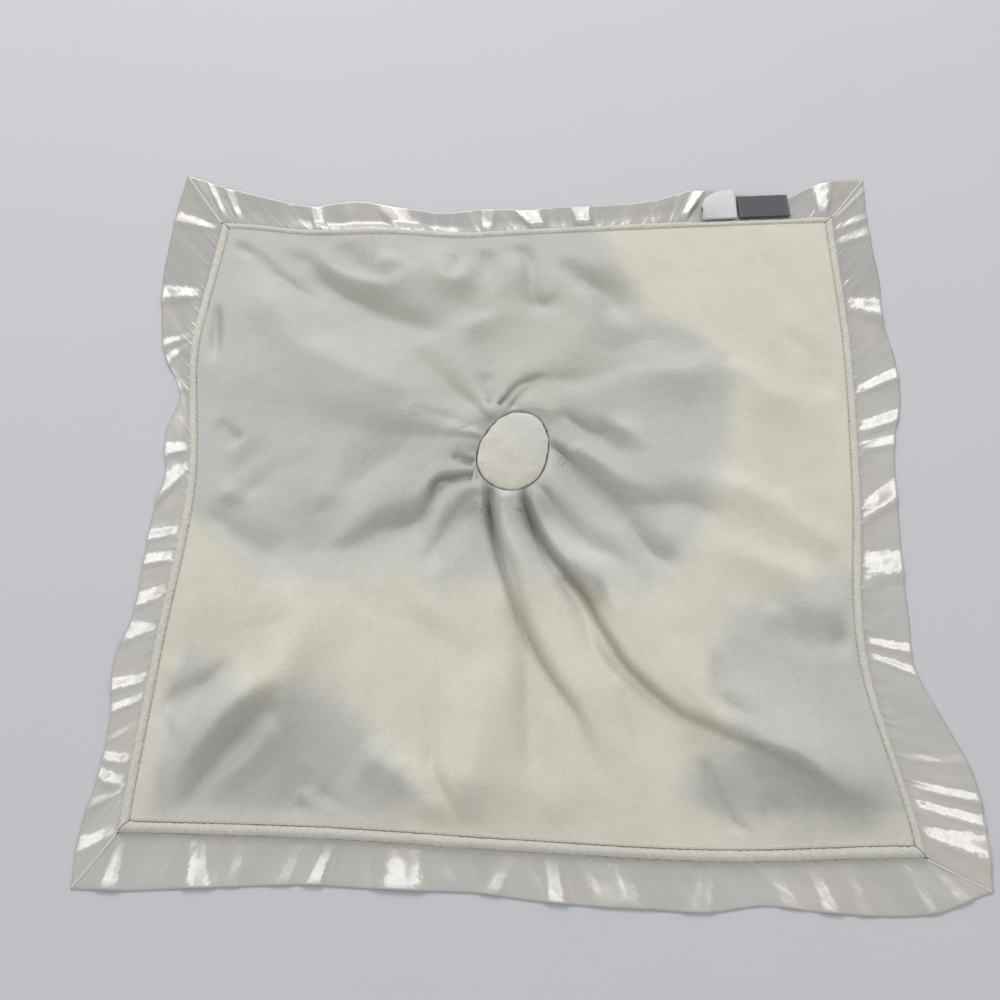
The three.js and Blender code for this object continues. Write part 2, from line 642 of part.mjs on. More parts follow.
// One satin-stitched eye. side is -1 for the left and 1 for the right.
function eye(name, side) {
  const centre = underside(HEAD_CENTRE, HEAD_RADII, (side * EYE_SPACING) / 2, -EYE_FORWARD);
  const radii = new THREE.Vector3(EYE_RADIUS, EYE_RADIUS, EYE_RADIUS);
  const whole = solidOf(ellipsoid(centre, radii, STITCH_AROUND, STITCH_ACROSS));
  return named(name, geometryOf(whole.subtract(headShape(CLEARANCE))), DARK_THREAD);
}

// A leaf-shaped plate that grows along X from a root curved round the head.
// halfThicknessAt(across, out) gives its half thickness, and lift moves it along Z.
function leafGeometry({ length, width, rootRadius, stations, outShares, halfThicknessAt, lift }) {
  const grid = (side) =>
    Array.from({ length: stations + 1 }, (_, k) => {
      const across = (2 * k) / stations - 1;
      const y = (across * width) / 2;
      const root = -(y ** 2) / (2 * rootRadius);
      const tip = length * Math.sqrt(1 - (LEAF_END_SHARE * across) ** 2);
      return outShares.map(
        (out) => new THREE.Vector3(root + (tip - root) * out, y, lift + side * halfThicknessAt(across, out)),
      );
    });
  return slabGeometry(grid(1), grid(-1));
}

// Where an ear is sewn on, seen from above: its place on the head's outline, the direction out of
// the head there, and the radius of the outline.
function earSeat(side) {
  const [across, along] = [HEAD_RADII.x, HEAD_RADII.y];
  const [cos, sin] = [Math.cos(EAR_PLACE), Math.sin(EAR_PLACE)];
  const slope = Math.hypot(along * cos, across * sin);
  const outward = new THREE.Vector2((side * along * cos) / slope, (-across * sin) / slope);
  const place = new THREE.Vector2(side * across * cos, -along * sin);
  return { place, outward, radius: slope ** 3 / (across * along) };
}

// One ear with its lining, on a group that stands at its seam. side is -1 for the left.
function ear(side, sideName) {
  const { place, outward, radius } = earSeat(side);
  const seam = EAR_SEAM_THICKNESS / 2;
  const plump = (across, out) => {
    const swell = Math.sin(Math.PI * (EAR_SWELL_START_SHARE + (1 - 2 * EAR_SWELL_START_SHARE) * out));
    const taper = Math.min(1, out / EAR_TAPER_SHARE) * Math.sqrt(1 - (LEAF_END_SHARE * across) ** 2);
    return seam + (EAR_THICKNESS / 2 - seam) * Math.sqrt(swell) * taper;
  };
  const body = leafGeometry({
    length: EAR_LENGTH,
    width: EAR_WIDTH,
    rootRadius: radius,
    stations: 10,
    outShares: [0, 0.3, 0.7, 1],
    halfThicknessAt: plump,
    lift: 0,
  });
  const lining = leafGeometry({
    length: EAR_LENGTH * LINING_LENGTH_SHARE,
    width: EAR_WIDTH * LINING_WIDTH_SHARE,
    rootRadius: radius,
    stations: 8,
    outShares: [0, 1],
    halfThicknessAt: () => EAR_LINING_THICKNESS / 2,
    lift: -(EAR_THICKNESS + EAR_LINING_THICKNESS) / 2 - CLEARANCE,
  }).translate(EAR_LENGTH * LINING_START_SHARE, 0, 0);
  const group = new THREE.Group();
  place.addScaledVector(outward, CLEARANCE + seam);
  group.position.set(HEAD_CENTRE.x + place.x, HEAD_CENTRE.y + place.y, HEAD_CENTRE.z);
  group.rotation.set(0, EAR_DROOP, outward.angle(), "ZYX");
  group.add(named("ear_" + sideName, body, CREAM_PLUSH));
  group.add(named("ear_lining_" + sideName, lining, GREY_VELOUR));
  return group;
}

const FAR_SIDE = SIDES.findIndex((side) => side.name === "far");

// The two plies of a label where they meet in the seam.
const rootHeight = (ply) => 2 * ply + CLEARANCE;

// A group whose X runs along the far seam and whose Y points out, at a distance from its corner.
// A label of that ply turns about it, just above the ruffle and any arch that reaches under the
// label from the middle of the side.
function labelRoot(distance, width, ply) {
  const share = distance / PANEL_SIDE;
  const reach = width / 2 / PANEL_SIDE;
  const arches = [0, reach].map((step) => risesAt(SIDES[FAR_SIDE].archShares, share + step));
  const place = sidePoint(FAR_SIDE, share, WELT_RADIUS + LABEL_STANDOFF);
  const [before, after] = [-TANGENT_SHARE, TANGENT_SHARE].map((step) => sidePoint(FAR_SIDE, share + step, 0));
  const along = before.sub(after);
  const ruffleTop = seamHeight(FAR_SIDE, share) + SATIN_THICKNESS / 2 + ARCH_HEIGHT * Math.max(...arches);
  const group = new THREE.Group();
  group.position.set(place.x, place.y, ruffleTop + CLEARANCE + rootHeight(ply) / 2);
  group.rotation.z = along.angle();
  return group;
}

// Extrudes a profile, drawn out from the seam and up, along the seam.
function ribbonGeometry(shape, width) {
  const solid = new THREE.ExtrudeGeometry(shape, { depth: width, bevelEnabled: false, curveSegments: 6 });
  return solid.rotateY(TAU / 4).rotateX(TAU / 4).translate(-width / 2, 0, 0);
}

// The woven label: a ribbon folded flat on itself, with both ends in the seam.
function wovenLabel() {
  const outer = rootHeight(WOVEN_LABEL_PLY) / 2;
  const inner = outer - WOVEN_LABEL_PLY;
  const fold = WOVEN_LABEL_LENGTH - outer;
  const shape = new THREE.Shape()
    .moveTo(0, -outer)
    .lineTo(fold, -outer)
    .absarc(fold, 0, outer, -TAU / 4, TAU / 4, false)
    .lineTo(0, outer)
    .lineTo(0, inner)
    .lineTo(fold, inner)
    .absarc(fold, 0, inner, TAU / 4, -TAU / 4, true)
    .lineTo(0, -inner);
  const distance = LABEL_INSET + WOVEN_LABEL_WIDTH / 2;
  const group = labelRoot(distance, WOVEN_LABEL_WIDTH, WOVEN_LABEL_PLY);
  group.add(named("woven_label", ribbonGeometry(shape, WOVEN_LABEL_WIDTH), CHARCOAL_RIBBON));
  return group;
}

// The care label: a longer white ribbon whose loop stands open.
function careLabel() {
  const outer = rootHeight(CARE_LABEL_PLY) / 2;
  const inner = outer - CARE_LABEL_PLY;
  const radius = CARE_LABEL_FOLD_RADIUS;
  const fold = CARE_LABEL_LENGTH - radius;
  const bend = fold / 2;
  const centre = radius - outer;
  const [top, hollowTop] = [centre + radius, centre + radius - CARE_LABEL_PLY];
  const shape = new THREE.Shape()
    .moveTo(0, -outer)
    .lineTo(fold, -outer)
    .absarc(fold, centre, radius, -TAU / 4, TAU / 4, false)
    .quadraticCurveTo(bend, top, 0, outer)
    .lineTo(0, inner)
    .quadraticCurveTo(bend, hollowTop, fold, hollowTop)
    .absarc(fold, centre, radius - CARE_LABEL_PLY, TAU / 4, -TAU / 4, true)
    .lineTo(0, -inner);
  const distance = LABEL_INSET + WOVEN_LABEL_WIDTH + LABEL_SPACING + CARE_LABEL_WIDTH / 2;
  const group = labelRoot(distance, CARE_LABEL_WIDTH, CARE_LABEL_PLY);
  group.add(named("care_label", ribbonGeometry(shape, CARE_LABEL_WIDTH), WHITE_RIBBON));
  return group;
}

// The whole lovey, moved so that its hems lie evenly round the origin.
const lovey = new THREE.Group();
const hems = SIDES.flatMap((_, i) =>
  Array.from({ length: RUFFLE_STATIONS + 1 }, (__, k) => hemPoint(i, mitreShare(k / RUFFLE_STATIONS))),
);
const middle = new THREE.Box2().setFromPoints(hems).getCenter(new THREE.Vector2());
lovey.position.set(-middle.x, -middle.y, 0);
lovey.add(...blanketPanels());
SIDES.forEach((_, i) => lovey.add(edgeWelt(i), satinRuffle(i)));
lovey.add(neckPatch(), neckBand(), ...headPieces(), muzzle(), nose());
lovey.add(eye("eye_left", -1), eye("eye_right", 1));
lovey.add(ear(-1, "left"), ear(1, "right"));
lovey.add(wovenLabel(), careLabel());

export default lovey;
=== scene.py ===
"""The looks of a comfort blanket lovey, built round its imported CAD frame.

The lovey lies face down, the way it is put on a table: a double square of velour with a corded
seam and a gathered satin ruffle, lifted in the middle by the small plush head sewn under it.
Shapes are worked out in millimetres as whole arrays and go into the meshes in metres.
"""

import sys

import logging
import math
from dataclasses import dataclass, field
from enum import Enum
from typing import Optional, Sequence

import bpy
import numpy as np
from mathutils import Matrix, Vector


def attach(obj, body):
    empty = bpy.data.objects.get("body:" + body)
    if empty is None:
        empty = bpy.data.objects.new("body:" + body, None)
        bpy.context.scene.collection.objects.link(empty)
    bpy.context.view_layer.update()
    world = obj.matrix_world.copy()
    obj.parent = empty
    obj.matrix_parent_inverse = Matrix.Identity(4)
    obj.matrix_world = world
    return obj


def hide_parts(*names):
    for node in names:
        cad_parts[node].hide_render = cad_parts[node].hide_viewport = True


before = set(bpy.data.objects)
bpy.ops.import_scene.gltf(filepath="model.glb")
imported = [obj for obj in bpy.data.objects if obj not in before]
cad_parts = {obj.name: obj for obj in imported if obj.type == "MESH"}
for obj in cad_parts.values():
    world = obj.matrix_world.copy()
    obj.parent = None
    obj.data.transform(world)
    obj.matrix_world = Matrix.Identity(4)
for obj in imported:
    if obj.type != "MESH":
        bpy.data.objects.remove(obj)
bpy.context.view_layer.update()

Array = np.ndarray
MM = 0.001
TAU = 2.0 * math.pi
LATTICE_SIZE = 64
UP = np.array([0.0, 0.0, 1.0])
LOG = logging.getLogger("lovey")


class Body(Enum):
    """The moving parts that a piece can ride on."""

    BLANKET = "blanket"
    WOVEN_LABEL = "woven_label"
    CARE_LABEL = "care_label"
    EAR_LEFT = "ear_left"
    EAR_RIGHT = "ear_right"


class Slot(Enum):
    """The record's material slots."""

    GREY_VELOUR = "grey_velour"
    CREAM_VELOUR = "cream_velour"
    SATIN = "satin"
    CREAM_PLUSH = "cream_plush"
    CHARCOAL_RIBBON = "charcoal_ribbon"
    WHITE_RIBBON = "white_ribbon"
    DARK_THREAD = "dark_thread"
    FILLING = "filling"


class Side(Enum):
    """The four sides, each from one corner to the next, counter-clockwise from above."""

    NEAR = 0
    RIGHT = 1
    FAR = 2
    LEFT = 3

    @property
    def after(self) -> "Side":
        """The side that starts where this one ends."""
        return Side((self.value + 1) % len(Side))

    @property
    def before(self) -> "Side":
        """The side that ends where this one starts."""
        return Side((self.value - 1) % len(Side))


# ---------------------------------------------------------------- curves and noise


def smoothstep(low: float, high: float, value: Array) -> Array:
    """Rises from 0 at low to 1 at high with flat ends: t squared times (3 less 2t).

    Args:
        low: where it leaves 0.
        high: where it reaches 1.
        value: the places to read.

    Returns:
        The step at each place.
    """
    t = np.clip((value - low) / (high - low), 0.0, 1.0)
    return t * t * (3.0 - 2.0 * t)


def plateau(start: float, full: float, leave: float, end: float, value: Array) -> Array:
    """1 from full to leave and 0 before start and after end, with a smoothstep between them."""
    return smoothstep(start, full, value) * (1.0 - smoothstep(leave, end, value))


def turns(count: int) -> Array:
    """Evenly spaced angles of one full turn, the first at 0."""
    return np.arange(count) * TAU / count


def circle(angle: Array) -> Array:
    """The points of the unit circle at angles, as (cosine, sine)."""
    return np.stack([np.cos(angle), np.sin(angle)], axis=-1)


def unit(vectors: Array) -> Array:
    """The vectors, each divided by its length."""
    return vectors / np.linalg.norm(vectors, axis=-1, keepdims=True)


def raised(flat: Array, height: Array) -> Array:
    """Points seen from above with their height as the third coordinate."""
    return np.concatenate([flat, height[..., None]], axis=-1)


def read_table(values: Sequence[float], share: Array) -> Array:
    """Reads a smooth curve through evenly spaced values.

    Between two values it is the cubic whose slope at each is half the step across it.

    Args:
        values: the table.
        share: places from 0 to 1 along it.

    Returns:
        The curve at each place.
    """
    table = np.asarray(values, float)
    place = np.clip(share, 0.0, 1.0) * (len(table) - 1)
    i = np.minimum(np.floor(place).astype(int), len(table) - 2)
    t = place - i
    last = len(table) - 1
    before, start, end, after = (table[np.clip(i + step, 0, last)] for step in (-1, 0, 1, 2))
    bend, leave = (end - before) / 2.0, (after - start) / 2.0
    cubic = (2.0 * start - 2.0 * end + bend + leave) * t**3
    square = (3.0 * end - 3.0 * start - 2.0 * bend - leave) * t**2
    return cubic + square + bend * t + start


def rises_at(table: Sequence[Sequence[float]], share: Array) -> Array:
    """Sums rounded rises: height times the squared cosine of a quarter turn over the reach.

    Args:
        table: place, half width and height of each rise, in shares of the side.
        share: places along the side.

    Returns:
        The sum of the rises at each place.
    """
    total = np.zeros_like(share)
    for place, half_width, height in table:
        reach = np.abs(share - place) / (2.0 * half_width)
        total += height * np.cos(np.minimum(reach, 1.0) * math.pi / 2.0) ** 2
    return total


def soft_max(a: Array, b: Array, width: Array) -> Array:
    """The larger of two heights, rounded over a width: half of a + b + hypot(a - b, width)."""
    return (a + b + np.hypot(a - b, width)) / 2.0


def round_edge(distance: Array, size: float) -> Array:
    """A quarter circle from 0 at an edge to 1 at a size from it: root of 1 - (1 - d) squared."""
    return np.sqrt(1.0 - (1.0 - np.clip(distance / size, 0.0, 1.0)) ** 2)


def lattice_noise(place: Array, cell: float, seed: int) -> Array:
    """Smooth noise from -1 to 1: random values at a square lattice's corners, smoothly blended.

    Args:
        place: points, with their two coordinates last.
        cell: the lattice's spacing, in the points' unit.
        seed: chooses the random values.

    Returns:
        The noise at each point.
    """
    size = LATTICE_SIZE
    table = np.random.default_rng(seed).uniform(-1.0, 1.0, (size, size))
    scaled = place / cell
    corner = np.floor(scaled).astype(int)
    t = scaled - corner
    t = t * t * (3.0 - 2.0 * t)
    x, y = corner[..., 0] % size, corner[..., 1] % size
    right, up = (x + 1) % size, (y + 1) % size
    low = table[x, y] * (1.0 - t[..., 0]) + table[right, y] * t[..., 0]
    high = table[x, up] * (1.0 - t[..., 0]) + table[right, up] * t[..., 0]
    return low * (1.0 - t[..., 1]) + high * t[..., 1]


def line_noise(place: Array, cell: float, seed: int) -> Array:
    """Smooth noise from -1 to 1 along a line: lattice noise read on one of its rows."""
    return lattice_noise(np.stack([place, np.zeros_like(place)], axis=-1), cell, seed)


def smooth_path(points: Array, steps: int) -> Array:
    """A dense, smooth path through a few points, each coordinate read as a table.

    Args:
        points: the few points, one in each row.
        steps: how many points the dense path has.

    Returns:
        The dense path.
    """
    share = np.linspace(0.0, 1.0, steps)
    return np.stack([read_table(points[:, axis], share) for axis in range(points.shape[1])], axis=1)


def nearest_on_path(place: Array, path: Array) -> tuple[Array, Array, Array]:
    """Finds the nearest point of a path.

    Each point is dropped on every span at t = (p - a) dot (b - a) over the span's squared
    length, held between 0 and 1, and the shortest drop is kept.

    Args:
        place: points, one in each row.
        path: the path's points.

    Returns:
        The distance, the share along the path, and the side (1 left of it, -1 right of it).
    """
    start, span = path[:-1], np.diff(path, axis=0)
    length = np.hypot(span[:, 0], span[:, 1])
    away = place[:, None, :] - start[None]
    t = np.clip((away * span).sum(-1) / length**2, 0.0, 1.0)
    gap = away - t[..., None] * span
    distance = np.hypot(gap[..., 0], gap[..., 1])
    best = distance.argmin(axis=1)
    row = np.arange(len(place))
    run = np.concatenate([[0.0], np.cumsum(length)])
    share = (run[best] + t[row, best] * length[best]) / run[-1]
    cross = span[best, 0] * away[row, best, 1] - span[best, 1] * away[row, best, 0]
    return distance[row, best], share, np.where(cross >= 0.0, 1.0, -1.0)


def spaced(path: Array, spacing: float) -> tuple[Array, Array]:
    """Points at an even spacing along a path, by its running length.

    Args:
        path: the path's points.
        spacing: the wanted distance from point to point.

    Returns:
        The points and the unit direction of the path at each.
    """
    run = np.concatenate([[0.0], np.cumsum(np.linalg.norm(np.diff(path, axis=0), axis=1))])
    count = max(2, int(run[-1] / spacing))
    places = (np.arange(count) + 0.5) * run[-1] / count
    step = spacing / 4.0

    def read(at: Array) -> Array:
        """The path's points at running lengths."""
        return np.stack([np.interp(at, run, path[:, axis]) for axis in range(3)], axis=1)

    return read(places), unit(read(places + step) - read(places - step))


# ---------------------------------------------------------------- skins and pieces


def grid_quads(rows: int, columns: int, wrap_rows: bool = False,
               wrap_columns: bool = False) -> Array:
    """Quads between neighbouring rows and columns of points numbered row by row.

    Args:
        rows: how many rows there are.
        columns: how many points a row has.
        wrap_rows: whether the last row meets the first.
        wrap_columns: whether a row's last point meets its first.

    Returns:
        Four point numbers a quad.
    """
    row, column = np.meshgrid(
        np.arange(rows if wrap_rows else rows - 1),
        np.arange(columns if wrap_columns else columns - 1),
        indexing="ij",
    )
    next_row, next_column = (row + 1) % rows, (column + 1) % columns
    corners = [
        row * columns + column,
        row * columns + next_column,
        next_row * columns + next_column,
        next_row * columns + column,
    ]
    return np.stack(corners, axis=-1).reshape(-1, 4)


@dataclass
class Skin:
    """One or more closed skins: points in millimetres, faces, and a value or vector a point."""

    points: Array
    quads: Array
    triangles: Array = field(default_factory=lambda: np.zeros((0, 3), int))
    fields: dict[str, Array] = field(default_factory=dict)

    @staticmethod
    def slab(top: Array, bottom: Array, closed: bool,
             fields: Optional[dict[str, tuple[Array, Array]]] = None) -> "Skin":
        """Joins an upper and a lower grid into one closed slab.

        Rows run along the piece and columns across it. The two grids have the same rows, and
        the same columns too where the slab is open.

        Args:
            top: the upper grid of points.
            bottom: the lower grid of points.
            closed: whether the last row meets the first.
            fields: values of the upper and the lower grid, by name.

        Returns:
            The slab.
        """
        rows, columns = top.shape[:2]
        lower_columns = bottom.shape[1]
        first = rows * columns
        upper = grid_quads(rows, columns, wrap_rows=closed)
        lower = grid_quads(rows, lower_columns, wrap_rows=closed)[:, ::-1] + first
        k = np.arange(rows if closed else rows - 1)
        n = (k + 1) % rows
        last, lower_last = columns - 1, lower_columns - 1
        outer = [k * columns + last, first + k * lower_columns + lower_last,
                 first + n * lower_columns + lower_last, n * columns + last]
        inner = [k * columns, n * columns, first + n * lower_columns, first + k * lower_columns]
        quads = [upper, lower, np.stack(outer, axis=1), np.stack(inner, axis=1)]
        if not closed:
            j = np.arange(columns - 1)
            end = (rows - 1) * columns
            quads.append(np.stack([j, first + j, first + j + 1, j + 1], axis=1))
            ends = [end + j, end + j + 1, first + end + j + 1, first + end + j]
            quads.append(np.stack(ends, axis=1))
        points = np.concatenate([top.reshape(-1, 3), bottom.reshape(-1, 3)])
        joined = {
            name: np.concatenate([
                a.reshape(rows * columns, -1), b.reshape(rows * lower_columns, -1),
            ])
            for name, (a, b) in (fields or {}).items()
        }
        return Skin(points, np.concatenate(quads), fields=joined)

    @staticmethod
    def loft(rings: Array, fields: Optional[dict[str, Array]] = None) -> "Skin":
        """Joins rings of points into closed skins, with a middle point at each end.

        Args:
            rings: rings by points by coordinates, or several such lofts stacked in front.
            fields: values of the rings' points, by name.

        Returns:
            The skins.
        """
        stacked = rings[None] if rings.ndim == 3 else rings
        pieces, count, size = stacked.shape[:3]
        body = grid_quads(count, size, wrap_columns=True)[:, ::-1]
        block = count * size + 2
        start, end = count * size, count * size + 1
        j = np.arange(size)
        following = (j + 1) % size
        last = (count - 1) * size
        caps = np.concatenate([
            np.stack([np.full(size, start), j, following], axis=1),
            np.stack([np.full(size, end), last + following, last + j], axis=1),
        ])
        offsets = (np.arange(pieces) * block)[:, None, None]
        ends = stacked[:, [0, -1]].mean(axis=2)
        points = np.concatenate([stacked.reshape(pieces, -1, 3), ends], axis=1).reshape(-1, 3)
        values = {}
        for name, value in (fields or {}).items():
            flat = value.reshape(pieces, count * size, -1)
            tips = np.stack([flat[:, :size].mean(axis=1), flat[:, -size:].mean(axis=1)], axis=1)
            values[name] = np.concatenate([flat, tips], axis=1).reshape(pieces * block, -1)
        quads = (body[None] + offsets).reshape(-1, 4)
        return Skin(points, quads, (caps[None] + offsets).reshape(-1, 3), values)

    def outward(self) -> "Skin":
        """The skin with its faces turned outwards: its signed volume is made positive.

        Returns:
            The skin itself, or one whose faces run the other way.
        """
        fans = [self.quads[:, [0, 1, 2]], self.quads[:, [0, 2, 3]], self.triangles]
        a, b, c = (self.points[np.concatenate(fans)[:, i]] for i in range(3))
        if (a * np.cross(b, c)).sum() >= 0.0:
            return self
        return Skin(self.points, self.quads[:, ::-1], self.triangles[:, ::-1], self.fields)

    def mesh(self, name: str) -> bpy.types.Mesh:
        """Makes the Blender mesh, in metres and shaded smooth.

        Args:
            name: the mesh's name.

        Returns:
            The mesh.
        """
        turned = self.outward()
        corners = np.concatenate([turned.quads.ravel(), turned.triangles.ravel()]).astype(np.int32)
        quad_starts = np.arange(len(turned.quads)) * 4
        triangle_starts = len(turned.quads) * 4 + np.arange(len(turned.triangles)) * 3
        starts = np.concatenate([quad_starts, triangle_starts]).astype(np.int32)
        made = bpy.data.meshes.new(name)
        made.vertices.add(len(turned.points))
        made.loops.add(len(corners))
        made.polygons.add(len(starts))
        made.vertices.foreach_set("co", (turned.points * MM).astype(np.float32).ravel())
        made.loops.foreach_set("vertex_index", corners)
        made.polygons.foreach_set("loop_start", starts)
        made.polygons.foreach_set("use_smooth", np.ones(len(starts), bool))
        for key, value in turned.fields.items():
            kind, entry = ("FLOAT", "value") if value.shape[1] == 1 else ("FLOAT_VECTOR", "vector")
            attribute = made.attributes.new(key, kind, "POINT")
            attribute.data.foreach_set(entry, value.astype(np.float32).ravel())
        made.update(calc_edges=True)
        made.validate()
        return made


@dataclass(frozen=True)
class Piece:
    """What a finished piece is called, what it stands for and what it moves with."""

    name: str
    slot: Slot
    nodes: tuple[str, ...] = ()
    body: Body = Body.BLANKET

    def place(self, skin: Skin, material: bpy.types.Material) -> bpy.types.Object:
        """Puts the skin into the scene and ties it to the frame.

        Args:
            skin: the piece's skin, in millimetres.
            material: its finish.

        Returns:
            The object.
        """
        made = bpy.data.objects.new(self.name, skin.mesh(self.name))
        bpy.context.scene.collection.objects.link(made)
        made.data.materials.append(material)
        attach(made, self.body.value)
        if self.nodes:
            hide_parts(*self.nodes)
        faces = 2 * len(skin.quads) + len(skin.triangles)
        LOG.info("%s: %d triangles on %s", self.name, faces, self.body.value)
        return made


# ---------------------------------------------------------------- finishes

Colour = tuple[float, float, float]
Socket = bpy.types.NodeSocket

# Where a mix node keeps its sockets for colours: the share, the two colours, the result.
MIX_COLOUR_INPUTS = (0, 6, 7)
MIX_COLOUR_OUTPUT = 2


def linear(colour: Colour, scale: float = 1.0) -> tuple[float, float, float, float]:
    """Turns a colour written as 0 to 255 into the shares of light that a shader takes.

    Args:
        colour: red, green and blue as seen on a screen.
        scale: a factor for the light.

    Returns:
        Red, green, blue and a full alpha.
    """
    shares = np.asarray(colour) / 255.0
    light = np.where(shares <= 0.04045, shares / 12.92, ((shares + 0.055) / 1.055) ** 2.4) * scale
    return (*(float(x) for x in light), 1.0)


class Shader:
    """A material's node sheet, with short ways to add the nodes that the finishes use."""

    def __init__(self, name: str) -> None:
        """Starts a material with one principled shader.

        Args:
            name: the material's name.
        """
        self.material = bpy.data.materials.new(name)
        self.material.use_nodes = True
        self.tree = self.material.node_tree
        self.surface = self.tree.nodes["Principled BSDF"]
        self.place = self.add("ShaderNodeTexCoord").outputs["Object"]

    def add(self, kind: str, **settings: object) -> bpy.types.Node:
        """Adds a node and sets its own properties.

        Args:
            kind: the node's type.
            settings: its properties by name.

        Returns:
            The node.
        """
        node = self.tree.nodes.new(kind)
        for key, value in settings.items():
            setattr(node, key, value)
        return node

    def feed(self, socket: Socket, source: object) -> None:
        """Links an output to a socket, or writes a plain value into it.

        Args:
            socket: the input socket.
            source: another node's output, or a value.
        """
        if isinstance(source, Socket):
            self.tree.links.new(source, socket)
        else:
            socket.default_value = source

    def set(self, **values: object) -> None:
        """Sets the principled shader's sockets, named with underscores for spaces."""
        for key, value in values.items():
            self.feed(self.surface.inputs[key.replace("_", " ")], value)

    def attribute(self, name: str, output: str) -> Socket:
        """An attribute of the piece's points: output is Fac or Vector."""
        return self.add("ShaderNodeAttribute", attribute_name=name).outputs[output]

    def stretched(self, place: Socket, scale: Sequence[float]) -> Socket:
        """Stretches coordinates by a factor on each axis.

        Args:
            place: the coordinates.
            scale: the three factors.

        Returns:
            The stretched coordinates.
        """
        node = self.add("ShaderNodeMapping")
        self.feed(node.inputs["Vector"], place)
        node.inputs["Scale"].default_value = scale
        return node.outputs["Vector"]

    def noise(self, scale: float, detail: float = 2.0, rough: float = 0.5, warp: float = 0.0,
              place: Optional[Socket] = None) -> Socket:
        """Noise from 0 to 1.

        Args:
            scale: cells in a unit of the coordinates.
            detail: how many finer layers it has.
            rough: how strong the finer layers are.
            warp: how far it is distorted.
            place: its coordinates, or the object's own.

        Returns:
            The noise's value.
        """
        node = self.add("ShaderNodeTexNoise")
        self.feed(node.inputs["Vector"], place or self.place)
        keys = ("Scale", "Detail", "Roughness", "Distortion")
        for key, value in zip(keys, (scale, detail, rough, warp)):
            node.inputs[key].default_value = value
        return node.outputs["Fac"]

    def waves(self, place: Socket, scale: float, axis: str, warp: float = 0.0) -> Socket:
        """Even ribs from 0 to 1 across one axis.

        Args:
            place: the coordinates.
            scale: about a third of the ribs in a unit.
            axis: X, Y or Z.
            warp: how far the ribs wander.

        Returns:
            The ribs' value.
        """
        node = self.add("ShaderNodeTexWave", bands_direction=axis)
        self.feed(node.inputs["Vector"], place)
        node.inputs["Scale"].default_value = scale
        node.inputs["Distortion"].default_value = warp
        return node.outputs["Fac"]

    def span(self, value: Socket, low: float, high: float, to_low: float = 0.0,
             to_high: float = 1.0, smooth: bool = False) -> Socket:
        """Maps low to to_low and high to to_high, and holds it there outside.

        Args:
            value: what is mapped.
            low: its lower end.
            high: its upper end.
            to_low: what the lower end becomes.
            to_high: what the upper end becomes.
            smooth: whether the ends are rounded.

        Returns:
            The mapped value.
        """
        kind = "SMOOTHSTEP" if smooth else "LINEAR"
        node = self.add("ShaderNodeMapRange", interpolation_type=kind)
        self.feed(node.inputs["Value"], value)
        keys = ("From Min", "From Max", "To Min", "To Max")
        for key, number in zip(keys, (low, high, to_low, to_high)):
            node.inputs[key].default_value = number
        return node.outputs["Result"]

    def math(self, operation: str, a: object, b: object) -> Socket:
        """One sum, product or other operation on two values.

        Args:
            operation: the operation's name.
            a: the first value.
            b: the second value.

        Returns:
            The result.
        """
        node = self.add("ShaderNodeMath", operation=operation)
        self.feed(node.inputs[0], a)
        self.feed(node.inputs[1], b)
        return node.outputs["Value"]

    def parts(self, vector: Socket) -> bpy.types.NodeOutputs:
        """Separates a vector.

        Args:
            vector: the vector.

        Returns:
            Its X, Y and Z as values of their own.
        """
        node = self.add("ShaderNodeSeparateXYZ")
        self.feed(node.inputs[0], vector)
        return node.outputs

    def mix(self, share: object, a: object, b: object, blend: str = "MIX") -> Socket:
        """Mixes two colours.

        Args:
            share: how much of b there is.
            a: the first colour.
            b: the second colour.
            blend: how b goes on a.

        Returns:
            The colour.
        """
        node = self.add("ShaderNodeMix", data_type="RGBA", blend_type=blend)
        for index, source in zip(MIX_COLOUR_INPUTS, (share, a, b)):
            self.feed(node.inputs[index], source)
        return node.outputs[MIX_COLOUR_OUTPUT]

    def shade(self, colour: object, value: Socket, low: float, high: float) -> Socket:
        """Darkens or lightens a colour by a value from 0 to 1.

        Args:
            colour: the colour.
            value: where it lies between the two ends.
            low: the factor at 0.
            high: the factor at 1.

        Returns:
            The colour.
        """
        factor = self.span(value, 0.0, 1.0, low, high)
        grey = self.add("ShaderNodeCombineColor")
        for socket in grey.inputs:
            self.feed(socket, factor)
        return self.mix(1.0, colour, grey.outputs["Color"], "MULTIPLY")

    def leaning(self, name: str) -> Socket:
        """The surface's normal, leant over by the X and Y of an attribute of the piece's points.

        Args:
            name: the attribute.

        Returns:
            The normal.
        """
        lean = self.add("ShaderNodeVectorMath", operation="MULTIPLY_ADD")
        self.feed(lean.inputs[0], self.attribute(name, "Vector"))
        lean.inputs[1].default_value = (1.0, 1.0, 0.0)
        self.feed(lean.inputs[2], self.add("ShaderNodeNewGeometry").outputs["Normal"])
        even = self.add("ShaderNodeVectorMath", operation="NORMALIZE")
        self.feed(even.inputs[0], lean.outputs["Vector"])
        return even.outputs["Vector"]

    def bump(self, height: Socket, distance: float, strength: float = 1.0,
             under: Optional[Socket] = None) -> Socket:
        """Raises the surface by a height from 0 to 1.

        Args:
            height: the height's value.
            distance: how far 1 stands up, in metres.
            strength: the share of it that shows.
            under: a bump that this one lies on.

        Returns:
            The normal.
        """
        node = self.add("ShaderNodeBump")
        self.feed(node.inputs["Height"], height)
        node.inputs["Distance"].default_value = distance
        node.inputs["Strength"].default_value = strength
        if under is not None:
            self.feed(node.inputs["Normal"], under)
        return node.outputs["Normal"]


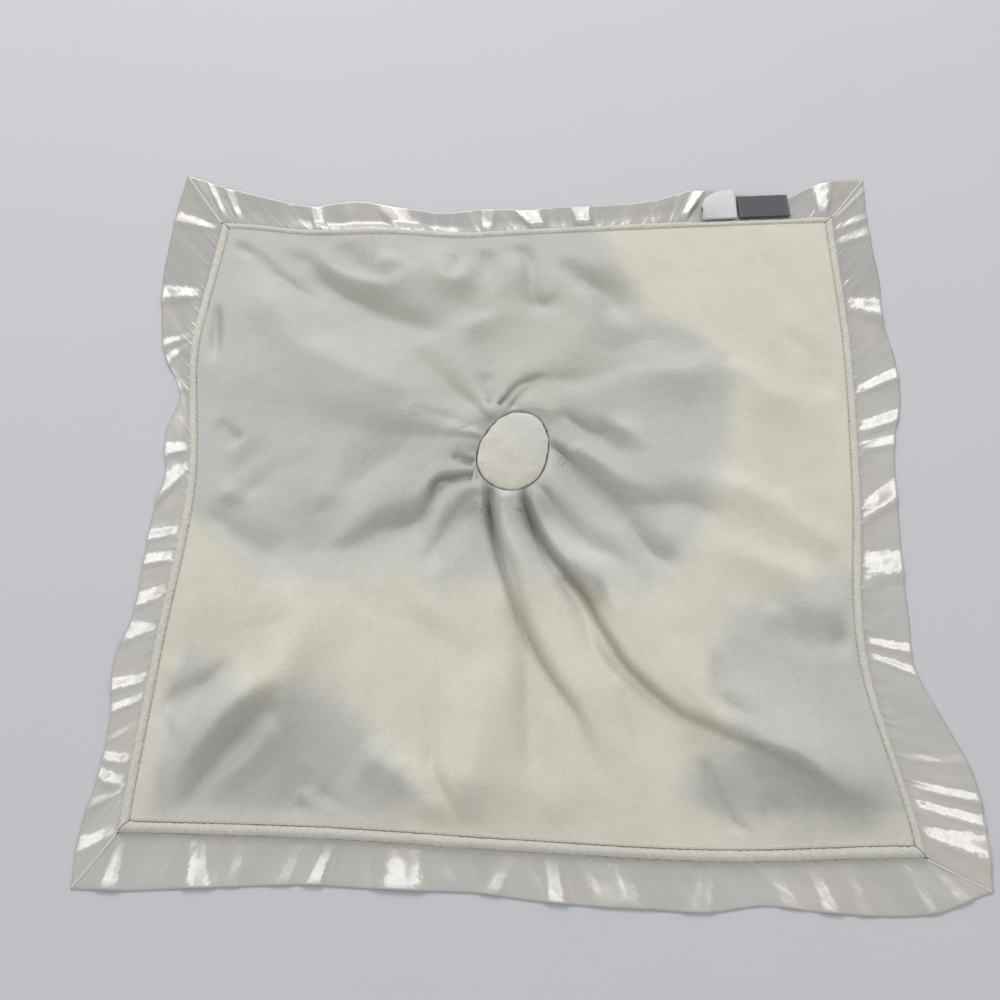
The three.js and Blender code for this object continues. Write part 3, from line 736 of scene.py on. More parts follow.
@dataclass(frozen=True)
class Finish:
    """A named material; each kind of finish paints its own sheet."""

    name: str

    def paint(self, sheet: Shader) -> None:
        """Adds the finish's nodes to a sheet."""
        raise NotImplementedError

    def build(self) -> bpy.types.Material:
        """Makes the material.

        Returns:
            The material.
        """
        sheet = Shader(self.name)
        self.paint(sheet)
        return sheet.material


@dataclass(frozen=True)
class VelourFinish(Finish):
    """Short-pile velour, printed in soft blotches of two tones where the piece says so.

    nap and grain are how much the brushed areas and the fine tufts change the tone. shade is
    the colour that painted shadow multiplies the print by in the narrow fold lines and the
    painted shade patches; the last colour is the warmer cast of painted shade where the pile
    leans to the near side, away from the light.
    """

    ground: Colour
    blotch: Colour
    printed: bool = False
    nap: float = 0.035
    grain: float = 0.045
    sheen: float = 0.25
    pile_height: float = 0.0003
    shade: Colour = (152.0, 148.0, 141.0)
    painted_shade_tint: Colour = (255.0, 253.0, 248.0)

    def paint(self, sheet: Shader) -> None:
        """Lays the print, the brushed areas, the nap's lean and the pile.

        Args:
            sheet: the material's sheet.
        """
        colour: object = linear(self.ground)
        if self.printed:
            edge = sheet.attribute("blotch", "Fac")
            coarse = sheet.span(sheet.noise(70.0, 3.0, 0.6, 0.6), 0.0, 1.0, -0.22, 0.22)
            fine = sheet.span(sheet.noise(420.0, 2.0, 0.6), 0.0, 1.0, -0.16, 0.16)
            wandering = sheet.math("ADD", sheet.math("ADD", edge, coarse), fine)
            mask = sheet.span(wandering, -0.4, 0.4, smooth=True)
            colour = sheet.mix(mask, linear(self.ground), linear(self.blotch))
        brushed = sheet.span(sheet.noise(38.0, 3.0, 0.55, 1.4), 0.3, 0.7)
        colour = sheet.shade(colour, brushed, 1.0 - self.nap, 1.0 + self.nap)
        if self.printed:
            nap = sheet.parts(sheet.attribute("nap", "Vector"))
            # Painted light: the print is lighter where the pile leans to the far side, towards the
            # light.
            colour = sheet.shade(colour, sheet.span(nap["Y"], 0.0, 0.6), 1.0, 1.12)
            # Painted shade: a warmer cast where the pile leans to the near side, away from the light.
            shaded_side = sheet.span(nap["Y"], 0.02, -0.3)
            colour = sheet.mix(shaded_side, colour, linear(self.painted_shade_tint), "MULTIPLY")
            # Painted shadow in the narrow fold lines and painted shade in the patches darken the
            # colour; patches below 0 are painted light.
            colour = sheet.mix(nap["Z"], colour, linear(self.shade), "MULTIPLY")
            colour = sheet.shade(colour, sheet.span(nap["Z"], 0.0, -0.5), 1.0, 1.3)
        tufts = sheet.span(sheet.noise(850.0, 2.0, 0.6), 0.25, 0.75)
        colour = sheet.shade(colour, tufts, 1.0 - self.grain, 1.0 + self.grain)
        pile = sheet.noise(1500.0, 3.0, 0.65)
        strokes = sheet.noise(160.0, 3.0, 0.6, 0.8)
        normal = sheet.bump(strokes, 0.0012, 0.32, sheet.leaning("nap") if self.printed else None)
        normal = sheet.bump(pile, self.pile_height, 0.8, normal)
        sheet.set(Base_Color=colour, Roughness=0.92, Specular_IOR_Level=0.2, Normal=normal,
                  Sheen_Weight=self.sheen, Sheen_Roughness=0.45)


@dataclass(frozen=True)
class SatinFinish(Finish):
    """Woven satin: long glossy floats along the strip, with a faint warm cast in places."""

    colour: Colour
    warm: Colour
    roughness: float = 0.29
    specular: float = 0.85
    thread: float = 0.00001

    def paint(self, sheet: Shader) -> None:
        """Lays the tone, the floats, the slubs and the fine ribs.

        Args:
            sheet: the material's sheet.
        """
        weave = sheet.attribute("weave", "Vector")
        floats = sheet.noise(1.0, 2.0, 0.6, place=sheet.stretched(weave, (90.0, 2600.0, 1.0)))
        tone = sheet.mix(sheet.span(sheet.noise(22.0, 2.0, 0.5, 0.5), 0.5, 0.75),
                         linear(self.colour), linear(self.warm))
        tone = sheet.shade(tone, floats, 0.98, 1.02)
        slubs = sheet.noise(1.0, 3.0, 0.6, place=sheet.stretched(weave, (120.0, 900.0, 1.0)))
        ribs = sheet.waves(weave, 900.0, "Y", 0.4)
        crumple = sheet.noise(230.0, 2.0, 0.5, 0.4)
        grains = sheet.noise(1900.0, 2.0, 0.7)
        tone = sheet.shade(tone, sheet.span(grains, 0.3, 0.7), 0.965, 1.035)
        broad = sheet.noise(1.0, 2.0, 0.5, place=sheet.stretched(weave, (75.0, 16.0, 1.0)))
        tone = sheet.shade(tone, sheet.span(broad, 0.3, 0.7), 0.93, 1.05)
        normal = sheet.bump(crumple, 0.0004, 0.3, sheet.leaning("catch"))
        normal = sheet.bump(grains, 0.0004, 0.13, normal)
        normal = sheet.bump(slubs, 0.00006, 0.12, normal)
        normal = sheet.bump(ribs, self.thread, 0.6, normal)
        rough = sheet.span(slubs, 0.2, 0.8, self.roughness - 0.04, self.roughness + 0.06)
        sheet.set(Base_Color=tone, Roughness=rough, Specular_IOR_Level=self.specular, IOR=1.6,
                  Normal=normal, Sheen_Weight=0.1, Sheen_Roughness=0.3, Coat_Weight=0.5,
                  Coat_Roughness=0.5, Coat_Normal=normal)


@dataclass(frozen=True)
class PlushFinish(Finish):
    """Longer toy plush, lying in small tufts."""

    colour: Colour
    tuft_scale: float = 420.0
    tuft_height: float = 0.0011

    def paint(self, sheet: Shader) -> None:
        """Lays the tufts and the hairs.

        Args:
            sheet: the material's sheet.
        """
        tufts = sheet.noise(self.tuft_scale, 3.0, 0.6, 0.8)
        strands = sheet.stretched(sheet.place, (1900.0, 500.0, 900.0))
        hairs = sheet.noise(1.0, 2.0, 0.6, place=strands)
        colour = sheet.shade(linear(self.colour), sheet.span(tufts, 0.25, 0.75), 0.9, 1.05)
        colour = sheet.shade(colour, hairs, 0.94, 1.05)
        normal = sheet.bump(tufts, self.tuft_height, 0.8)
        normal = sheet.bump(hairs, 0.0004, 0.6, normal)
        sheet.set(Base_Color=colour, Roughness=0.95, Specular_IOR_Level=0.15, Normal=normal,
                  Sheen_Weight=0.3, Sheen_Roughness=0.5)


class RibbonWeave(Enum):
    """How a label's ribbon is woven."""

    TWILL = "twill"
    SATIN = "satin"


@dataclass(frozen=True)
class RibbonFinish(Finish):
    """A narrow woven ribbon with a firmer selvedge at each edge of its width."""

    colour: Colour
    thread: Colour
    weave: RibbonWeave
    roughness: float
    half_width: float
    edge_tone: float = 0.94

    def paint(self, sheet: Shader) -> None:
        """Lays the weave and the selvedges.

        Args:
            sheet: the material's sheet.
        """
        weave = sheet.attribute("weave", "Vector")
        picks = sheet.waves(weave, 620.0, "Y")
        ends = sheet.waves(weave, 620.0 if self.weave is RibbonWeave.TWILL else 1400.0, "X")
        cloth = sheet.math("MULTIPLY", picks, ends)
        edge = sheet.math("ABSOLUTE", sheet.parts(weave)["X"], 0.0)
        selvedge = sheet.span(edge, (self.half_width - 1.5) * MM, (self.half_width - 1.0) * MM)
        colour = sheet.mix(sheet.span(cloth, 0.15, 0.7), linear(self.colour), linear(self.thread))
        colour = sheet.shade(colour, sheet.noise(500.0, 2.0, 0.6), 0.93, 1.07)
        colour = sheet.shade(colour, selvedge, 1.0, self.edge_tone)
        normal = sheet.bump(sheet.noise(170.0, 2.0), 0.0003, 0.3)
        normal = sheet.bump(cloth, 0.00012, 0.8, normal)
        sheet.set(Base_Color=colour, Roughness=self.roughness, Specular_IOR_Level=0.5,
                  Normal=normal)


@dataclass(frozen=True)
class ThreadFinish(Finish):
    """Sewing or embroidery thread, with the twist of its plies."""

    colour: Colour
    roughness: float = 0.55

    def paint(self, sheet: Shader) -> None:
        """Lays the twist of the plies.

        Args:
            sheet: the material's sheet.
        """
        twist = sheet.stretched(sheet.place, (5200.0, 1500.0, 2600.0))
        plies = sheet.noise(1.0, 2.0, 0.6, place=twist)
        colour = sheet.shade(linear(self.colour), plies, 0.82, 1.16)
        normal = sheet.bump(plies, 0.0001, 0.8)
        sheet.set(Base_Color=colour, Roughness=self.roughness, Normal=normal, Sheen_Weight=0.15)


@dataclass(frozen=True)
class FillingFinish(Finish):
    """Loose polyester fibre."""

    colour: Colour

    def paint(self, sheet: Shader) -> None:
        """Lays the tangled fibres.

        Args:
            sheet: the material's sheet.
        """
        tangle = sheet.stretched(sheet.place, (900.0, 260.0, 500.0))
        fibres = sheet.noise(1.0, 4.0, 0.7, 2.0, tangle)
        colour = sheet.shade(linear(self.colour), fibres, 0.86, 1.04)
        sheet.set(Base_Color=colour, Roughness=1.0, Normal=sheet.bump(fibres, 0.001, 0.7),
                  Sheen_Weight=0.2)


@dataclass(frozen=True)
class FloorFinish(Finish):
    """The plain pale floor."""

    name: str = "pale_floor"
    colour: Colour = (197.0, 198.0, 201.0)

    def paint(self, sheet: Shader) -> None:
        """Lays a faint mottle.

        Args:
            sheet: the material's sheet.
        """
        mottle = sheet.noise(14.0, 4.0, 0.6)
        colour = sheet.shade(linear(self.colour), mottle, 0.985, 1.015)
        normal = sheet.bump(sheet.noise(260.0, 3.0, 0.6), 0.0002, 0.4)
        sheet.set(Base_Color=colour, Roughness=0.7, Specular_IOR_Level=0.2, Normal=normal)


class Finishes:
    """Every finish of the lovey, built once."""

    def __init__(self) -> None:
        """Builds the materials."""
        cream, grey = (209.0, 206.0, 192.0), (190.0, 190.5, 186.0)
        self.printed_velour = VelourFinish("printed_velour", cream, grey, printed=True).build()
        self.plain_velour = VelourFinish("cream_velour_cloth", cream, cream).build()
        self.welt_velour = VelourFinish(
            "welt_velour", (208.0, 206.0, 195.0), cream, grain=0.06, pile_height=0.0006).build()
        self.patch_velour = VelourFinish(
            "patch_velour", (211.0, 209.0, 196.0), (206.0, 207.0, 202.0), printed=True,
            grain=0.05).build()
        self.lining_velour = VelourFinish("lining_velour", grey, grey).build()
        self.satin = SatinFinish(
            "ruffle_satin", (180.0, 178.5, 173.0), (190.0, 182.0, 174.0)).build()
        self.plush = PlushFinish("cream_plush_pile", (212.0, 206.0, 190.0)).build()
        self.woven = RibbonFinish("woven_label_ribbon", (79.0, 81.0, 84.0), (97.0, 99.0, 102.0),
                                  RibbonWeave.TWILL, 0.75, 13.25, 1.4).build()
        self.care = RibbonFinish("care_label_ribbon", (222.0, 222.0, 222.0), (230.0, 230.0, 229.0),
                                 RibbonWeave.SATIN, 0.42, 9.0).build()
        self.cream_thread = ThreadFinish("cream_thread", (206.0, 203.0, 194.0)).build()
        self.seam_thread = ThreadFinish("seam_thread", (201.0, 199.0, 188.0)).build()
        self.dark_thread = ThreadFinish("dark_embroidery", (74.0, 69.0, 66.0)).build()
        self.filling = FillingFinish("loose_filling", (240.0, 238.0, 232.0)).build()


# ---------------------------------------------------------------- the plan of seam and hem


@dataclass(frozen=True)
class SideShape:
    """How one side of the rumpled square runs, in shares of its length.

    bow is how far the seam bows out, of the panel's side. pull is how far the hem is drawn in,
    in millimetres. lifts are place, half width and height of what lifts the seam. slopes are
    the parts of the ruffle that tilt to the far side and catch the light: where each starts
    and ends at the seam, where it starts and ends at the hem, and how strongly it tilts.
    """

    bow: tuple[float, ...]
    pull: tuple[float, ...]
    lifts: tuple[tuple[float, float, float], ...]
    slopes: tuple[tuple[float, float, float, float, float], ...]


SIDE_SHAPES: dict[Side, SideShape] = {
    Side.NEAR: SideShape(
        bow=(0, 0, 0.008, 0.0125, 0),
        pull=(0, -0.5, 0.4, 1.2, 1.9, 0.8, -0.2, -0.9, -3.7, -5.6, -6.7, -7.8, -5.3, -7.6, -9, -7.7, 0),
        lifts=(),
        slopes=(
            (0.002, 0.01, 0.03, 0.052, 0.8), (0.088, 0.108, 0.124, 0.152, 1.0),
            (0.15, 0.16, 0.165, 0.18, 0.35), (0.222, 0.232, 0.218, 0.236, 0.45),
            (0.26, 0.27, 0.253, 0.27, 1.0), (0.335, 0.376, 0.332, 0.378, 1.1),
            (0.482, 0.497, 0.445, 0.462, 0.6), (0.528, 0.543, 0.516, 0.536, 1.0),
            (0.565, 0.62, 0.568, 0.625, 0.45), (0.718, 0.738, 0.664, 0.692, 0.6),
            (0.795, 0.812, 0.768, 0.79, 0.5), (0.848, 0.862, 0.812, 0.832, 0.7),
            (0.895, 0.905, 0.85, 0.866, 0.4), (0.965, 0.972, 0.925, 0.94, 0.4),
            (0.99, 0.997, 0.96, 0.975, 0.6),
        ),
    ),
    Side.RIGHT: SideShape(
        bow=(0, -0.04, -0.017, 0, 0),
        pull=(0, -1.9, -0.6, 7.5, 16, 15, 14.2, 12.2, 10.6, 7.2, 1.1, 0.6, 3.1, 1.1, 1.7, 1.5, 0),
        lifts=(),
        slopes=(
            (0.028, 0.04, 0.03, 0.062, 1.0), (0.062, 0.074, 0.068, 0.082, 1.0),
            (0.086, 0.098, 0.094, 0.106, 1.0), (0.12, 0.128, 0.138, 0.15, 0.4),
            (0.258, 0.266, 0.241, 0.254, 1.0), (0.276, 0.286, 0.268, 0.282, 1.0),
            (0.368, 0.412, 0.372, 0.403, 1.1), (0.458, 0.486, 0.474, 0.506, 1.2),
            (0.57, 0.584, 0.552, 0.57, 0.9), (0.598, 0.618, 0.588, 0.609, 1.1),
            (0.664, 0.68, 0.655, 0.673, 1.0), (0.822, 0.846, 0.752, 0.786, 1.0),
            (0.945, 0.958, 0.895, 0.915, 0.7), (0.975, 0.985, 0.925, 0.94, 0.6),
            (0.992, 0.998, 0.978, 0.992, 0.6),
        ),
    ),
    Side.FAR: SideShape(
        bow=(0, -0.008, -0.019, -0.03, 0),
        pull=(0, 2, 13.4, 10.2, 7.4, 14.9, 18, 19.1, 21.3, 21.5, 24, 20, 16.5, 20, 14.9, 8.1, 0),
        lifts=((0.74, 0.08, 1.0),),
        slopes=(
            (0.008, 0.02, 0.048, 0.078, 0.8), (0.246, 0.258, 0.234, 0.252, 1.0),
            (0.398, 0.42, 0.408, 0.434, 1.1), (0.47, 0.492, 0.484, 0.518, 1.0),
            (0.56, 0.575, 0.545, 0.565, 0.4), (0.66, 0.7, 0.672, 0.722, 0.6),
            (0.83, 0.845, 0.795, 0.815, 0.4), (0.96, 0.972, 0.93, 0.945, 0.6),
            (0.985, 0.995, 0.96, 0.972, 0.6),
        ),
    ),
    Side.LEFT: SideShape(
        bow=(0, 0.014, -0.014, -0.006, 0),
        pull=(0, -2.4, -3.4, -3.8, -1.5, 2.8, 13.3, 9.5, 12.2, 9, 8.4, 7.5, 2.5, 4.8, 3.8, 0.2, 0),
        lifts=((0.26, 0.05, 0.3),),
        slopes=(
            (0.004, 0.014, 0.066, 0.088, 0.8), (0.132, 0.15, 0.196, 0.226, 1.0),
            (0.222, 0.232, 0.288, 0.304, 1.0), (0.238, 0.247, 0.316, 0.336, 1.0),
            (0.312, 0.33, 0.35, 0.368, 0.7), (0.42, 0.434, 0.448, 0.47, 1.1),
            (0.45, 0.466, 0.49, 0.53, 1.1), (0.558, 0.574, 0.574, 0.588, 1.1),
            (0.598, 0.614, 0.606, 0.622, 1.1), (0.648, 0.672, 0.658, 0.676, 1.0),
            (0.712, 0.72, 0.69, 0.722, 0.9), (0.782, 0.796, 0.764, 0.78, 1.1),
            (0.81, 0.822, 0.794, 0.806, 1.0), (0.845, 0.856, 0.832, 0.842, 0.5),
            (0.895, 0.91, 0.848, 0.86, 1.1), (0.926, 0.942, 0.866, 0.88, 1.1),
            (0.935, 0.945, 0.902, 0.916, 0.7), (0.984, 0.998, 0.944, 0.962, 0.9),
        ),
    ),
}


@dataclass
class SeamPlan:
    """Where the seam and the hem run, seen from above, as the CAD source has them."""

    panel_side: float = 312.0
    ruffle_depth: float = 24.0
    edge_lift: float = 6.0
    welt_radius: float = 2.3
    clearance: float = 0.3
    to_middle: tuple[float, float] = (0.080, 4.706)
    corner_shares: tuple[tuple[float, float], ...] = (
        (-1.038, -1.003), (0.979, -1.058), (1.006, 0.962), (-0.994, 0.923))

    def __post_init__(self) -> None:
        """Works out the corners, the tips, the outward directions and the shift to the origin."""
        half = self.panel_side / 2.0
        self.corners = np.array(self.corner_shares) * half
        self.tips = np.array([[-1, -1], [1, -1], [1, 1], [-1, 1]]) * (half + self.ruffle_depth)
        self.outwards = self._outward(self.corners)
        self.tip_outwards = self._outward(self.tips)
        before, after = np.roll(self.outwards, 1, axis=0), self.outwards
        self.mitres = (before + after) / (1.0 + (before * after).sum(axis=1, keepdims=True))
        self.shift = np.array(self.to_middle)

    @staticmethod
    def _outward(points: Array) -> Array:
        """The unit normals that point out of the sides between neighbouring points."""
        along = unit(np.roll(points, -1, axis=0) - points)
        return np.stack([along[:, 1], -along[:, 0]], axis=1)

    def mitred_share(self, share: Array) -> Array:
        """A share along a side with both ends drawn in by the clearance at the mitre."""
        gap = self.clearance / self.panel_side
        return gap + (1.0 - 2.0 * gap) * share

    def hem(self, side: Side, share: Array) -> Array:
        """The hem of a side: the line between two tips, drawn in by the pull.

        Args:
            side: which side.
            share: places along it.

        Returns:
            The hem's points, seen from above.
        """
        i, j = side.value, side.after.value
        pull = read_table(SIDE_SHAPES[side].pull, share)
        line = self.tips[i] + share[..., None] * (self.tips[j] - self.tips[i])
        return line - pull[..., None] * self.tip_outwards[i] + self.shift

    def seam(self, side: Side, share: Array, offset: Array) -> Array:
        """Points of a side, moved out from the seam.

        Both corners move along their mitre, (before + after) over (1 + their dot product), and
        the line between them is bowed out.

        Args:
            side: which side.
            share: places along it.
            offset: how far out of the seam each is.

        Returns:
            The points, in the row's frame.
        """
        i, j = side.value, side.after.value
        out = np.broadcast_to(np.asarray(offset, float), share.shape)[..., None]
        along = share[..., None]
        line = (self.corners[i] + self.mitres[i] * out) * (1.0 - along)
        line = line + (self.corners[j] + self.mitres[j] * out) * along
        bow = read_table(SIDE_SHAPES[side].bow, share) * self.panel_side
        return line + bow[..., None] * self.outwards[i] + self.shift

    def height(self, side: Side, share: Array) -> Array:
        """The middle height of the seam: the welt's radius and what lifts it."""
        return self.welt_radius + self.edge_lift * rises_at(SIDE_SHAPES[side].lifts, share)


@dataclass
class NeckRing:
    """The egg-shaped opening in the middle, where cloth, patch and head are sewn together."""

    plan: SeamPlan
    centre: tuple[float, float] = (-7.6, -7.3)
    radius: float = 16.2
    height: float = 40.0
    tilt: float = math.radians(8.0)
    oval: float = 0.11
    oval_angle: float = math.radians(67.0)
    corner: float = 0.027
    corner_angle: float = math.radians(190.0)
    cloth_half: float = 1.55

    @property
    def middle(self) -> Array:
        """The ring's centre in the row's frame."""
        return np.array(self.centre) + self.plan.shift

    def outline(self, angle: Array) -> Array:
        """The radius in a direction, as a share: 1 and a second and a third harmonic."""
        oval = self.oval * np.cos(2.0 * (angle - self.oval_angle))
        return 1.0 + oval + self.corner * np.cos(3.0 * (angle - self.corner_angle))

    def to_place(self, local: Array) -> Array:
        """Turns points made round the ring's own axis into its tilted place.

        Args:
            local: points, with Z up from the middle of the cloth.

        Returns:
            The points in the row's frame.
        """
        cos, sin = math.cos(self.tilt), math.sin(self.tilt)
        x, y, z = local[..., 0], local[..., 1], local[..., 2]
        turned = np.stack([x, y * cos - z * sin, y * sin + z * cos], axis=-1)
        return turned + np.array([*self.middle, self.height])


@dataclass
class HeadForm:
    """The head's egg form under the neck, lying on its face."""

    ring: NeckRing
    radii: tuple[float, float, float] = (30.0, 26.0, 14.5)
    forward: float = 3.0
    rest: float = 5.0

    @property
    def centre(self) -> Array:
        """The form's middle in the row's frame."""
        flat = self.ring.middle - np.array([0.0, self.forward])
        return np.array([*flat, self.rest + self.radii[2]])

    def point(self, across: Array, turn: Array, grow: Array) -> Array:
        """Points of the form, grown all round.

        Args:
            across: the share along X, -1 to 1.
            turn: the turn about X, 0 on top and a quarter on the far side.
            grow: how far it is grown.

        Returns:
            The points.
        """
        ring = np.sqrt(np.clip(1.0 - across**2, 0.0, 1.0))
        x, y, z = (radius + grow for radius in self.radii)
        around = [x * across, y * ring * np.sin(turn), z * ring * np.cos(turn)]
        return self.centre + np.stack(around, axis=-1)

    def half_height(self, flat: Array, grow: float) -> Array:
        """How far the grown form's surface stands from its middle height, 0 outside it."""
        away = (flat - self.centre[:2]) / (np.array(self.radii[:2]) + grow)
        return (self.radii[2] + grow) * np.sqrt(np.clip(1.0 - (away**2).sum(-1), 0.0, 1.0))

    def top(self, flat: Array, grow: float) -> Array:
        """The height of the grown form's upper side over a place."""
        return self.centre[2] + self.half_height(flat, grow)

    def under(self, flat: Array, grow: float) -> Array:
        """The height of the grown form's under side over a place."""
        return self.centre[2] - self.half_height(flat, grow)


# ---------------------------------------------------------------- the draped cloth


@dataclass(frozen=True)
class Fold:
    """A long bank or hollow in the cloth, along a path seen from above.

    rise is in millimetres at its start, middle and end, below 0 for a hollow. left and right
    are the half widths of its two flanks at the start and the end. fade is the share of the
    path over which it comes in and dies away.
    """

    path: tuple[tuple[float, float], ...]
    rise: tuple[float, float, float]
    left: tuple[float, float]
    right: tuple[float, float]
    fade: tuple[float, float] = (0.2, 0.3)

    @property
    def half_width(self) -> float:
        """The mean half width, in millimetres."""
        return (sum(self.left) + sum(self.right)) / 4.0

    def at(self, place: Array) -> Array:
        """The fold's height: its rise times a bell across it.

        The bell is exp of minus (the square of distance over width, and 0.03) to the 0.85: close
        to a Gaussian, but with a rounder top and longer flanks. The path is cut off beyond the
        reach, where the bell is next to nothing.

        Args:
            place: points seen from above, before the shift to the origin.

        Returns:
            The height at each point.
        """
        height = np.zeros(len(place))
        dense = smooth_path(np.array(self.path, float), 6 * len(self.path))
        reach = 2.6 * max(*self.left, *self.right)
        low, high = dense.min(axis=0) - reach, dense.max(axis=0) + reach
        near = np.all((place > low) & (place < high), axis=1)
        if not near.any():
            return height
        distance, share, left = nearest_on_path(place[near], dense)
        start, end = (np.where(left > 0.0, a, b) for a, b in zip(self.left, self.right))
        bell = np.exp(-(((distance / (start + (end - start) * share)) ** 2 + 0.03) ** 0.85))
        ends = plateau(0.0, self.fade[0], 1.0 - self.fade[1], 1.0, share)
        height[near] = read_table(self.rise, share) * ends * bell
        return height


